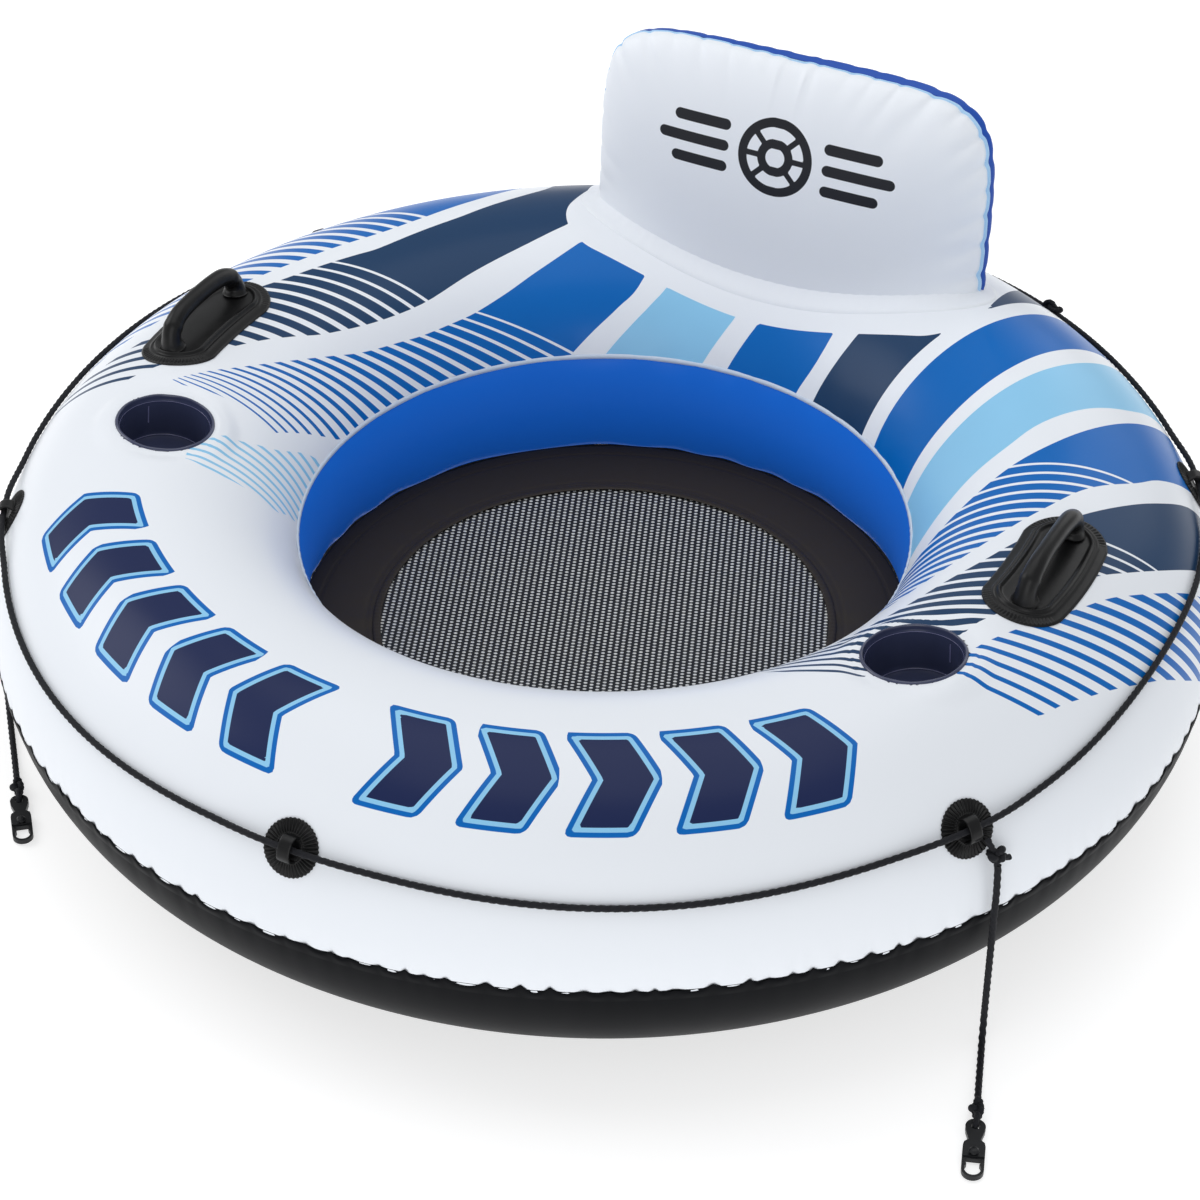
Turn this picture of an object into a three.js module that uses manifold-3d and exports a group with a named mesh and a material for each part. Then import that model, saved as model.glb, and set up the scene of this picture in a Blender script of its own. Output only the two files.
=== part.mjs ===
// Towable river tube: an inflatable ring with a laced-in mesh floor, an inflated backrest,
// two cup holders, two handles, a grab rope in six patches and two tow cords with connectors.
// Units are millimetres. +Z is up, the front of the tube faces -Y and the backrest stands at +Y.

import * as THREE from 'three';
import { mergeVertices } from 'three/addons/utils/BufferGeometryUtils.js';
import Module from 'manifold-3d';

const wasm = await Module();
wasm.setup();

// ---------------------------------------------------------------- driving dimensions

const RING_RADIUS = 500;          // from the ring's axis to the middle of the tube
const TUBE_HALF_WIDTH = 172.5;    // the inflated section is nearly round
const TUBE_HALF_HEIGHT = 169.5;
const TUBE_CENTRE_HEIGHT = 168;   // a little less than the half height: the tube flattens where it rests
const SKIN = 2.5;                 // wall thickness the skins are modelled with
const RING_SEGMENTS = 40;
const TOP_PANEL_STEPS = 12;
const GAP = 0.35;                 // air left between neighbouring pieces

// Angles round the tube's section: 0 points outward, 90 up, 180 towards the seat, 270 down.
const OUTER_SEAM = -3;
const INNER_SEAM = 160.5;
const FLOOR_SEAM = 206.5;
const SEAM_HALF_ANGLE = 1;
const SEAM_HEIGHT = 2.5;

const FLOOR_HEIGHT = 91;
const FLOOR_OUTER_RADIUS = 344;
const MESH_RADIUS = 255.5;
const MESH_SAG = 7;
const FLOOR_THICKNESS = 2;

const CUP_ANGLE = 67;             // places round the ring, counted from the front
const CUP_SECTION_ANGLE = 96.4;
const CUP_BORE = 49;
const CUP_DEPTH = 50;
const CUP_RIM_RADIUS = 54.5;
const CUP_SINK = 3.5;             // the flat rim sits a little below the crown of the tube

const HANDLE_ANGLE = 89.7;
const HANDLE_SECTION_ANGLE = 86;
const HANDLE_HALF_LENGTH = 97;
const HANDLE_HALF_WIDTH = 48;
const GRIP_HALF_SPAN = 65;
const GRIP_HEIGHT = 45;
const GRIP_RADIUS = 10;

const PATCH_COUNT = 6;
const PATCH_SECTION_ANGLE = 31;
const PATCH_RADIUS = 30;
const ROPE_RADIUS = 3.3;
const ROPE_LIFT = 8.2;
const ROPE_JOIN_ANGLE = 152;      // the rope's two ends are knotted here

const BACKREST_HALF_WIDTH = 245;
const BACKREST_HEIGHT = 246;
const BACKREST_HALF_DEPTH = 52;
const BACKREST_BASE = new THREE.Vector3(0, 462, 325);
const BACKREST_LEAN = 4;
const BACKREST_CORNER_POWER = 6.5;

const TOW_CORD_RADIUS = 3.6;
const TOW_CORD_ANGLE = 61.6;
const KNOT_SECTION_ANGLE = 20.5;
const CLIP_AXIS_HEIGHT = 4.9;

const MAIN_VALVE_ANGLE = 163;
const MAIN_VALVE_SECTION_ANGLE = 50;
const MAIN_VALVE_BORE = 10.6;
const BACKREST_VALVE_RISE = 80;   // above the backrest's base line, on the rear face
const BACKREST_VALVE_BORE = 4.5;

// Where the tow cords run: from the knot down over the bulge, straight down to the ground, then
// along the ground to the connector.
const TOW_ROUTE_RIGHT = [
  [595.1, -321.8, 220.8], [596.5, -323.9, 205.4], [597.7, -325.9, 186.7], [598, -327.4, 168],
  [598, -327.4, 140], [598, -327.4, 110], [598, -327.4, 80], [598, -327.4, 55],
  [598, -327.4, 30], [598.7, -329.3, 20.1], [600.5, -334.6, 11.6], [603.3, -342.6, 6],
  [606.6, -352, 4], [614.7, -375.2, 4], [622.7, -398.4, 5.5], [630.8, -421.6, 9],
];
const TOW_ROUTE_LEFT = [
  [-595.1, -321.8, 220.8], [-596.5, -323.9, 205.4], [-597.7, -325.9, 186.7], [-598, -327.4, 168],
  [-598, -327.4, 140], [-598, -327.4, 110], [-598, -327.4, 80], [-598, -327.4, 55],
  [-598, -327.4, 30], [-596.8, -328.9, 20.1], [-593.2, -333.3, 11.6], [-587.8, -339.8, 6],
  [-581.4, -347.4, 4], [-565.8, -366.2, 4], [-550.1, -385.1, 4], [-534.5, -403.9, 4],
  [-518.8, -422.7, 4], [-503.2, -441.5, 5.5], [-487.6, -460.3, 9],
];

// ---------------------------------------------------------------- finishes

function finish(color, roughness, metalness = 0) {
  return () => new THREE.MeshStandardMaterial({ color, roughness, metalness });
}
const WHITE_VINYL = finish(0xf1f4f8, 0.38);
const BLUE_VINYL = finish(0x1046a0, 0.35);
const BLACK_VINYL = finish(0x292b2f, 0.45);
const DARK_MESH = finish(0x2c2c2e, 0.7);
const NAVY_CLEAR = finish(0x1a2038, 0.2);
const MOULDED_BLACK = finish(0x29292a, 0.5);
const ROPE_BLACK = finish(0x2a2c31, 0.85);
const CLEAR_VINYL = finish(0xd8dee4, 0.25);

// ---------------------------------------------------------------- the tube's surface

const radians = THREE.MathUtils.degToRad;

// A point on the section in (radius, height), moved out along the section's normal by lift.
function sectionPoint(sectionAngle, lift = 0) {
  const angle = radians(sectionAngle);
  const normal = new THREE.Vector2(
    Math.cos(angle) / TUBE_HALF_WIDTH,
    Math.sin(angle) / TUBE_HALF_HEIGHT,
  ).normalize();
  const radius = RING_RADIUS + TUBE_HALF_WIDTH * Math.cos(angle) + lift * normal.x;
  const height = TUBE_CENTRE_HEIGHT + TUBE_HALF_HEIGHT * Math.sin(angle) + lift * normal.y;
  return new THREE.Vector2(radius, Math.max(height, 0, -lift));
}

// A point on the tube: ringAngle is counted from the front (-Y) towards +X.
function tubePoint(ringAngle, sectionAngle, lift = 0) {
  const { x: radius, y: height } = sectionPoint(sectionAngle, lift);
  const angle = radians(ringAngle);
  return new THREE.Vector3(radius * Math.sin(angle), -radius * Math.cos(angle), height);
}

// A frame on the tube: X runs round the ring, Y round the section and Z out along the normal.
function tubeFrame(ringAngle, sectionAngle, lift = 0) {
  const step = 0.01;
  const origin = tubePoint(ringAngle, sectionAngle, lift);
  const normal = tubePoint(ringAngle, sectionAngle, lift + 1).sub(origin).normalize();
  const along = tubePoint(ringAngle + step, sectionAngle, lift).sub(origin).normalize();
  const across = new THREE.Vector3().crossVectors(normal, along);
  return new THREE.Matrix4().makeBasis(along, across, normal).setPosition(origin);
}

// ---------------------------------------------------------------- solids

function withoutExtras(geometry) {
  const bare = geometry.clone();
  bare.deleteAttribute('normal');
  bare.deleteAttribute('uv');
  return mergeVertices(bare, 1e-4);
}

function toSolid(geometry) {
  const merged = withoutExtras(geometry);
  return new wasm.Manifold(new wasm.Mesh({
    numProp: 3,
    vertProperties: new Float32Array(merged.attributes.position.array),
    triVerts: new Uint32Array(merged.index.array),
  }));
}

function toGeometry(solid) {
  const mesh = solid.getMesh();
  const geometry = new THREE.BufferGeometry();
  geometry.setAttribute('position', new THREE.BufferAttribute(mesh.vertProperties, 3));
  geometry.setIndex(new THREE.BufferAttribute(mesh.triVerts, 1));
  return geometry;
}

function cut(geometry, ...tools) {
  return toGeometry(tools.reduce((solid, tool) => solid.subtract(toSolid(tool)), toSolid(geometry)));
}

function join(geometry, ...others) {
  return toGeometry(others.reduce((solid, other) => solid.add(toSolid(other)), toSolid(geometry)));
}

function overlap(geometry, other) {
  return toGeometry(toSolid(geometry).intersect(toSolid(other)));
}

// Turns an outline of (radius, height) points, given anticlockwise, about +Z. An outline that
// doesn't start on the axis is closed on itself.
function revolve(outline, segments) {
  const points = outline.map(([radius, height]) => new THREE.Vector2(radius, height));
  if (points[0].x > 0) points.push(points[0].clone());
  return new THREE.LatheGeometry(points, segments).rotateX(Math.PI / 2);
}

function anglesBetween(from, to, steps) {
  return Array.from({ length: steps + 1 }, (_, i) => from + ((to - from) * i) / steps);
}

// A band of the tube's skin between two section angles, from one lift to another.
function tubeBand(angles, lowLift, highLift) {
  const outer = angles.map((angle) => sectionPoint(angle, highLift));
  const inner = angles.map((angle) => sectionPoint(angle, lowLift)).reverse();
  return revolve([...outer, ...inner].map((point) => [point.x, point.y]), RING_SEGMENTS);
}

// A plate that follows the tube. It is a stack of outlines, each outline(direction) giving the
// plate's reach at a share of its size; rings lists [share, lift] from the rim to the middle.
function wrappedPlate(ringAngle, sectionAngle, reach, rings, underLift, sides) {
  const { x: radius } = sectionPoint(sectionAngle);
  const place = (share, direction, lift) => {
    const [along, across] = reach(direction).map((size) => size * share);
    return tubePoint(
      ringAngle + THREE.MathUtils.radToDeg(along / radius),
      sectionAngle + THREE.MathUtils.radToDeg(across / TUBE_HALF_WIDTH),
      lift,
    );
  };
  const levels = [...[...rings].reverse().map(([share]) => [share, underLift]), ...rings];
  const vertices = [place(0, 0, underLift)];
  for (const [share, lift] of levels) {
    for (let side = 0; side < sides; side += 1) {
      vertices.push(place(share, (side / sides) * 2 * Math.PI, lift));
    }
  }
  vertices.push(place(0, 0, rings.at(-1)[1]));
  return stackedRings(vertices, levels.length, sides);
}

// Closes a stack of rings of vertices, with one vertex before the first and one after the last.
function stackedRings(vertices, ringCount, sides) {
  const indices = [];
  const at = (ring, side) => 1 + ring * sides + (side % sides);
  const last = vertices.length - 1;
  for (let side = 0; side < sides; side += 1) {
    indices.push(0, at(0, side + 1), at(0, side));
    indices.push(last, at(ringCount - 1, side), at(ringCount - 1, side + 1));
    for (let ring = 0; ring < ringCount - 1; ring += 1) {
      indices.push(at(ring, side), at(ring, side + 1), at(ring + 1, side + 1));
      indices.push(at(ring, side), at(ring + 1, side + 1), at(ring + 1, side));
    }
  }
  const geometry = new THREE.BufferGeometry().setFromPoints(vertices);
  geometry.setIndex(indices);
  return geometry;
}

function sweep(curve, halfWidth, halfHeight, steps, sides) {
  const section = new THREE.Shape(
    Array.from({ length: sides }, (_, i) => {
      const angle = ((i + 0.5) / sides) * 2 * Math.PI;
      return new THREE.Vector2(halfWidth * Math.cos(angle), halfHeight * Math.sin(angle));
    }),
  );
  return new THREE.ExtrudeGeometry(section, { steps, extrudePath: curve, bevelEnabled: false });
}

function curveThrough(points) {
  return new THREE.CatmullRomCurve3(points.map((point) => new THREE.Vector3(...point)));
}

// ---------------------------------------------------------------- the scene

const towableTube = new THREE.Group();

function addNode(name, geometry, material, matrix) {
  const mesh = new THREE.Mesh(geometry, material());
  mesh.name = name;
  if (matrix) matrix.decompose(mesh.position, mesh.quaternion, mesh.scale);
  towableTube.add(mesh);
}

const SIDES = [['left', -1], ['right', 1]];

// ---------------------------------------------------------------- ring

const CUP_FRAMES = SIDES.map(([, sign]) => tubeFrame(sign * CUP_ANGLE, CUP_SECTION_ANGLE, -CUP_SINK));
const MAIN_VALVE_FRAME = tubeFrame(MAIN_VALVE_ANGLE, MAIN_VALVE_SECTION_ANGLE);

function upright(geometry) {
  return geometry.rotateX(Math.PI / 2);
}

function buildRing() {
  const gapAngle = 0.06;
  const holeRadius = CUP_RIM_RADIUS + 1.5;
  const cupHole = (frame) => upright(new THREE.CylinderGeometry(holeRadius, holeRadius, 60, 24)).applyMatrix4(frame);
  const valveHole = upright(new THREE.CylinderGeometry(14.6, 14.6, 30, 16));
  addNode('top_panel', cut(
    tubeBand(anglesBetween(OUTER_SEAM + gapAngle, INNER_SEAM - gapAngle, TOP_PANEL_STEPS), -SKIN, 0),
    ...CUP_FRAMES.map(cupHole),
    valveHole.applyMatrix4(MAIN_VALVE_FRAME),
  ), WHITE_VINYL);

  addNode(
    'inner_wall_panel',
    tubeBand(anglesBetween(INNER_SEAM + gapAngle, FLOOR_SEAM - gapAngle, 4), -SKIN, 0),
    BLUE_VINYL,
  );

  const flatAngle = THREE.MathUtils.radToDeg(Math.acos(TUBE_CENTRE_HEIGHT / TUBE_HALF_HEIGHT));
  addNode('bottom_panel', tubeBand([
    ...anglesBetween(FLOOR_SEAM + gapAngle, 270 - flatAngle, 3),
    ...anglesBetween(270 + flatAngle, 360 + OUTER_SEAM - gapAngle, 5),
  ], -SKIN, 0), BLACK_VINYL);

  const seamBand = (middle, height) => tubeBand(
    [middle - SEAM_HALF_ANGLE, middle + SEAM_HALF_ANGLE], GAP, height,
  );
  addNode('outer_weld_seam', seamBand(OUTER_SEAM, SEAM_HEIGHT), BLACK_VINYL);
  addNode('inner_weld_seam', seamBand(INNER_SEAM, SEAM_HEIGHT / 2), WHITE_VINYL);
  addNode('floor_weld_seam', seamBand(FLOOR_SEAM + 2.6, SEAM_HEIGHT), BLACK_VINYL);
}

// ---------------------------------------------------------------- seat floor

function buildFloor() {
  const top = FLOOR_HEIGHT + FLOOR_THICKNESS / 2;
  const bottom = top - FLOOR_THICKNESS;
  const drop = 1.5;                // the border slopes down to the mesh by this much
  const borderInner = MESH_RADIUS + GAP;
  addNode('floor_border', revolve([
    [borderInner, bottom - drop], [FLOOR_OUTER_RADIUS, bottom],
    [FLOOR_OUTER_RADIUS, top], [borderInner, top - drop],
  ], RING_SEGMENTS), BLACK_VINYL);

  const meshTop = top - drop;
  addNode('floor_mesh', revolve([
    [0, meshTop - FLOOR_THICKNESS - MESH_SAG],
    [MESH_RADIUS / 2, meshTop - FLOOR_THICKNESS - 0.75 * MESH_SAG],
    [MESH_RADIUS, meshTop - FLOOR_THICKNESS],
    [MESH_RADIUS, meshTop],
    [MESH_RADIUS / 2, meshTop - 0.75 * MESH_SAG],
    [0, meshTop - MESH_SAG],
  ], RING_SEGMENTS), DARK_MESH);

  const hemBottom = meshTop + 0.6;
  addNode('floor_mesh_hem', revolve([
    [MESH_RADIUS - 4, hemBottom], [MESH_RADIUS + 6, hemBottom],
    [MESH_RADIUS + 6, hemBottom + 1.4], [MESH_RADIUS - 4, hemBottom + 1.4],
  ], RING_SEGMENTS), BLACK_VINYL);
}

// ---------------------------------------------------------------- backrest

const BACKREST_FRAME = new THREE.Matrix4()
  .makeRotationX(radians(90 - BACKREST_LEAN))
  .setPosition(BACKREST_BASE);     // X across, Y up the backrest, Z out of its front

// The seam's outline is a superellipse, twice as tall as the backrest: the tube hides its lower half.
function backrestOutline(angle, growth = 0) {
  const power = 2 / BACKREST_CORNER_POWER;
  const round = (value) => Math.sign(value) * Math.abs(value) ** power;
  return [
    (BACKREST_HALF_WIDTH + growth) * round(Math.cos(angle)),
    (BACKREST_HEIGHT + growth) * round(Math.sin(angle)),
  ];
}

function backrestDepth(share) {
  const rim = 1.2;
  return rim + (BACKREST_HALF_DEPTH - rim) * Math.sqrt(1 - share ** 3);
}

// One half of the pillow: a flat back just off the seam plane and a crowned face.
function pillowHalf(facing, growth = 0) {
  const sides = 32;
  const shares = [1, 0.985, 0.94, 0.84, 0.66, 0.38];
  const corner = (share, side, depth) => {
    const [x, y] = backrestOutline((side / sides) * 2 * Math.PI, growth);
    return new THREE.Vector3(x * share, y * share, facing * depth);
  };
  const vertices = [new THREE.Vector3(0, 0, facing * GAP / 2)];
  for (let side = 0; side < sides; side += 1) vertices.push(corner(1, side, GAP / 2));
  for (const share of shares) {
    for (let side = 0; side < sides; side += 1) {
      vertices.push(corner(share, facing * side + sides, backrestDepth(share) + growth));
    }
  }
  if (facing < 0) {
    for (let side = 0; side < sides; side += 1) vertices[1 + side] = corner(1, sides - side, GAP / 2);
  }
  vertices.push(new THREE.Vector3(0, 0, facing * (BACKREST_HALF_DEPTH + growth)));
  return stackedRings(vertices, shares.length + 1, sides).applyMatrix4(BACKREST_FRAME);
}

function seamFlange() {
  const ring = (growth) => Array.from({ length: 48 }, (_, i) => (
    new THREE.Vector2(...backrestOutline((i / 48) * 2 * Math.PI, growth))
  ));
  const shape = new THREE.Shape(ring(7));
  shape.holes.push(new THREE.Path(ring(GAP)));
  const thickness = 3;
  return new THREE.ExtrudeGeometry(shape, { depth: thickness, bevelEnabled: false })
    .translate(0, 0, -thickness / 2)
    .applyMatrix4(BACKREST_FRAME);
}

// The whole ring as one body, with the same facets as its top panel.
function ringBody(lift) {
  const outline = [
    ...anglesBetween(OUTER_SEAM, INNER_SEAM, TOP_PANEL_STEPS),
    ...anglesBetween(190, 330, 6),
  ].map((angle) => sectionPoint(angle, lift));
  return revolve(outline.map((point) => [point.x, point.y]), RING_SEGMENTS);
}

const BACKREST_VALVE_FRAME = BACKREST_FRAME.clone()
  .multiply(new THREE.Matrix4().makeTranslation(0, BACKREST_VALVE_RISE, -BACKREST_HALF_DEPTH))
  .multiply(new THREE.Matrix4().makeRotationX(Math.PI));

function buildBackrest() {
  const clearOfRing = 0.9;
  const tube = ringBody(clearOfRing);
  const pocket = upright(new THREE.CylinderGeometry(7.6, 7.6, 40, 12)).applyMatrix4(BACKREST_VALVE_FRAME);
  addNode('backrest_front_panel', cut(pillowHalf(1), tube), WHITE_VINYL);
  addNode('backrest_rear_panel', cut(pillowHalf(-1), tube, pocket), BLUE_VINYL);
  addNode('backrest_weld_seam', cut(seamFlange(), ringBody(4)), WHITE_VINYL);

  const wide = 9;
  const skirt = join(pillowHalf(1, wide), pillowHalf(-1, wide), seamPlug(wide));
  const hole = join(pillowHalf(1, 1), pillowHalf(-1, 1), seamPlug(7.6));
  const layer = cut(ringBody(3), ringBody(clearOfRing));
  addNode('backrest_base_flange', cut(overlap(layer, skirt), hole), WHITE_VINYL);
}

// Fills the gap between the two halves of a grown pillow, out past its seam flange.
function seamPlug(growth) {
  const outline = Array.from({ length: 32 }, (_, i) => (
    new THREE.Vector2(...backrestOutline((i / 32) * 2 * Math.PI, growth))
  ));
  return new THREE.ExtrudeGeometry(new THREE.Shape(outline), { depth: 5, bevelEnabled: false })
    .translate(0, 0, -2.5)
    .applyMatrix4(BACKREST_FRAME);
}

// ---------------------------------------------------------------- cup holders

function buildCupHolders() {
  const wall = 2.5;
  const rimThickness = 4.5;
  const outline = [
    [0, -CUP_DEPTH - wall], [CUP_BORE - 2, -CUP_DEPTH - wall], [CUP_BORE, -CUP_DEPTH],
    [CUP_BORE + wall, -rimThickness], [CUP_RIM_RADIUS - 1, -rimThickness],
    [CUP_RIM_RADIUS, -2], [CUP_RIM_RADIUS - 1, 0], [CUP_BORE + wall, 0],
    [CUP_BORE, -1.5], [CUP_BORE - wall, -CUP_DEPTH + wall], [CUP_BORE - 2 * wall, -CUP_DEPTH],
    [0, -CUP_DEPTH],
  ];
  SIDES.forEach(([side], i) => {
    addNode(`cup_holder_${side}`, revolve(outline, 24), NAVY_CLEAR, CUP_FRAMES[i]);
  });
}

// ---------------------------------------------------------------- handles

function buildHandles() {
  const oval = (direction) => {
    const round = (value) => Math.sign(value) * Math.abs(value) ** 0.85;
    return [
      HANDLE_HALF_LENGTH * round(Math.cos(direction)),
      HANDLE_HALF_WIDTH * round(Math.sin(direction)),
    ];
  };
  const levels = [[1, 2.2], [0.96, 4], [0.84, 4], [0.8, 6], [0.4, 6]];
  const foot = 6.5;
  const arch = curveThrough([
    [-GRIP_HALF_SPAN, 0, foot], [-GRIP_HALF_SPAN, 0, 15], [-GRIP_HALF_SPAN + 11, 0, 30],
    [-32, 0, GRIP_HEIGHT - 9], [0, 0, GRIP_HEIGHT - 7], [32, 0, GRIP_HEIGHT - 9],
    [GRIP_HALF_SPAN - 11, 0, 30], [GRIP_HALF_SPAN, 0, 15], [GRIP_HALF_SPAN, 0, foot],
  ]);
  for (const [side, sign] of SIDES) {
    const angle = sign * HANDLE_ANGLE;
    addNode(
      `handle_base_${side}`,
      wrappedPlate(angle, HANDLE_SECTION_ANGLE, oval, levels, 0.7, 24),
      MOULDED_BLACK,
    );
    addNode(
      `handle_grip_${side}`,
      sweep(arch, GRIP_RADIUS, GRIP_RADIUS, 16, 10),
      MOULDED_BLACK,
      tubeFrame(angle, HANDLE_SECTION_ANGLE),
    );
  }
}

// ---------------------------------------------------------------- grab rope and its patches

// The strap over the rope, in a patch's own frame: Y across the rope, Z out of the patch.
function ropeLoop() {
  const halfWidth = 15;
  const wall = 3.5;
  const foot = 4.2;
  const shoulder = 9;
  const crown = 16;
  const length = 14;
  const shape = new THREE.Shape();
  shape.moveTo(halfWidth, foot);
  shape.lineTo(halfWidth, shoulder);
  shape.lineTo(halfWidth * 0.6, crown - 1.2);
  shape.lineTo(0, crown);
  shape.lineTo(-halfWidth * 0.6, crown - 1.2);
  shape.lineTo(-halfWidth, shoulder);
  shape.lineTo(-halfWidth, foot);
  shape.lineTo(wall - halfWidth, foot);
  shape.lineTo(wall - halfWidth, shoulder);
  shape.lineTo(-halfWidth * 0.5, crown - wall - 0.6);
  shape.lineTo(0, crown - wall + 0.2);
  shape.lineTo(halfWidth * 0.5, crown - wall - 0.6);
  shape.lineTo(halfWidth - wall, shoulder);
  shape.lineTo(halfWidth - wall, foot);
  const solid = new THREE.ExtrudeGeometry(shape, { depth: length, bevelEnabled: false });
  const turn = new THREE.Matrix4().makeBasis(
    new THREE.Vector3(0, 1, 0), new THREE.Vector3(0, 0, 1), new THREE.Vector3(1, 0, 0),
  );
  return solid.translate(0, 0, -length / 2).applyMatrix4(turn);
}

function buildRopePatches() {
  const disc = (direction) => [PATCH_RADIUS * Math.cos(direction), PATCH_RADIUS * Math.sin(direction)];
  for (let index = 0; index < PATCH_COUNT; index += 1) {
    const angle = (index * 360) / PATCH_COUNT;
    addNode(
      `rope_patch_${index + 1}`,
      wrappedPlate(angle, PATCH_SECTION_ANGLE, disc, [[1, 2.2], [0.5, 3.4]], 0.7, 20),
      MOULDED_BLACK,
    );
    addNode(`rope_loop_${index + 1}`, ropeLoop(), MOULDED_BLACK, tubeFrame(angle, PATCH_SECTION_ANGLE));
  }
}

// The rope runs once round the ring, a little higher between the side and rear patches.
class GrabRopeRoute extends THREE.Curve {
  getPoint(share, target = new THREE.Vector3()) {
    const clearOfKnot = 1.6;
    const start = ROPE_JOIN_ANGLE + clearOfKnot;
    const angle = start + share * (360 - 2 * clearOfKnot);
    return target.copy(tubePoint(angle, ropeSectionAngle(angle), ROPE_LIFT));
  }
}

function ropeSectionAngle(ringAngle) {
  const span = (((ringAngle % 60) + 60) % 60) / 60;
  const sag = Math.sin(Math.PI * span) ** 2;
  const around = Math.abs((((ringAngle + 180) % 360) + 360) % 360 - 180);
  return PATCH_SECTION_ANGLE + sag * (around < 60 ? -2.5 : 6);
}

// A knot stands as a smooth rounded lump of the size the tied rope takes up.
function knot(halfLength, halfWidth, halfHeight) {
  return new THREE.SphereGeometry(1, 12, 8).scale(halfLength, halfWidth, halfHeight);
}

function buildGrabRope() {
  addNode('grab_rope', sweep(new GrabRopeRoute(), ROPE_RADIUS, ROPE_RADIUS, 72, 8), ROPE_BLACK);
  addNode(
    'grab_rope_knot',
    knot(17, 9, 7),
    ROPE_BLACK,
    tubeFrame(ROPE_JOIN_ANGLE, ropeSectionAngle(ROPE_JOIN_ANGLE), ROPE_LIFT),
  );
}

// ---------------------------------------------------------------- tow cords and connectors

const EYE_LENGTH = 30;
const HOOK_LENGTH = 47;
const HOOK_HALF_WIDTH = 11;
const HOOK_THICKNESS = 9;
const HOOK_RING_THICKNESS = 5.5;
const CORD_KNOT_HALF_LENGTH = 12;

// The connector's eye: a flat teardrop with a hole at the cord's end and a headed stem at the
// other, on which the hook turns. Its frame: X along the connector, Y across it, Z up.
function connectorEye() {
  const shape = new THREE.Shape();
  shape.moveTo(EYE_LENGTH - 1, -5.5);
  shape.lineTo(EYE_LENGTH - 1, 5.5);
  shape.lineTo(15, 9.5);
  shape.absarc(10, 0, 10, 1.1, 2 * Math.PI - 1.1, false);
  shape.lineTo(15, -9.5);
  const hole = new THREE.Path();
  hole.absarc(9.5, 0, 4.5, 0, 2 * Math.PI, true);
  shape.holes.push(hole);
  const thickness = 6;
  const plate = new THREE.ExtrudeGeometry(shape, { depth: thickness, bevelEnabled: false, curveSegments: 8 })
    .translate(0, 0, -thickness / 2);
  const stem = revolve([
    [0, -3], [1.9, -3], [1.9, 5.4], [2.8, 5.8], [2.8, 8], [0, 8],
  ], 12).rotateY(Math.PI / 2).translate(EYE_LENGTH - 1, 0, 0);
  return join(plate, stem);
}

// The hook: a thick block that turns on the stem, and a thinner ring with a D opening. Two small
// bumps in the opening hold a second connector's button, and the block carries its own button.
function connectorHook() {
  const slab = (shape, thickness) => new THREE.ExtrudeGeometry(
    shape, { depth: thickness, bevelEnabled: false, curveSegments: 8 },
  ).translate(0, 0, -thickness / 2);
  const half = HOOK_HALF_WIDTH;
  const block = new THREE.Shape([
    [0, -6.5], [3, -10], [8, -half], [21.5, -half], [21.5, half], [8, half], [3, 10], [0, 6.5],
  ].map(([x, y]) => new THREE.Vector2(x, y)));
  const ring = new THREE.Shape();
  ring.moveTo(12, -half);
  ring.lineTo(HOOK_LENGTH - half, -half);
  ring.absarc(HOOK_LENGTH - half, 0, half, -Math.PI / 2, Math.PI / 2, false);
  ring.lineTo(12, half);
  const opening = new THREE.Path();
  const wide = half - 2.8;
  opening.moveTo(23.5, -wide);
  opening.lineTo(23.5, wide);
  opening.lineTo(26.5, wide);
  opening.lineTo(30, wide - 2);
  opening.lineTo(33.5, wide - 0.2);
  opening.absarc(HOOK_LENGTH - half, 0, wide - 0.2, Math.PI / 2, -Math.PI / 2, true);
  opening.lineTo(33.5, 0.2 - wide);
  opening.lineTo(30, 2 - wide);
  opening.lineTo(26.5, -wide);
  ring.holes.push(opening);
  const link = join(slab(block, HOOK_THICKNESS), slab(ring, HOOK_RING_THICKNESS));
  const socket = revolve([
    [0, -2], [2.3, -2], [2.3, 4.4], [3.3, 4.8], [3.3, 8.4], [0, 8.4],
  ], 12).rotateY(Math.PI / 2);
  const button = revolve([
    [0, -2], [3, -2], [3, 2.2], [5, 3], [5, 4], [3.2, 5.4], [0, 5.8],
  ], 16).translate(17.5, 0, HOOK_THICKNESS / 2);
  return join(cut(link, socket), button);
}

// A frame on the ground at a point, with X along a heading.
function groundFrame(x, y, height, heading) {
  return new THREE.Matrix4().makeRotationZ(heading).setPosition(x, y, height);
}

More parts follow.
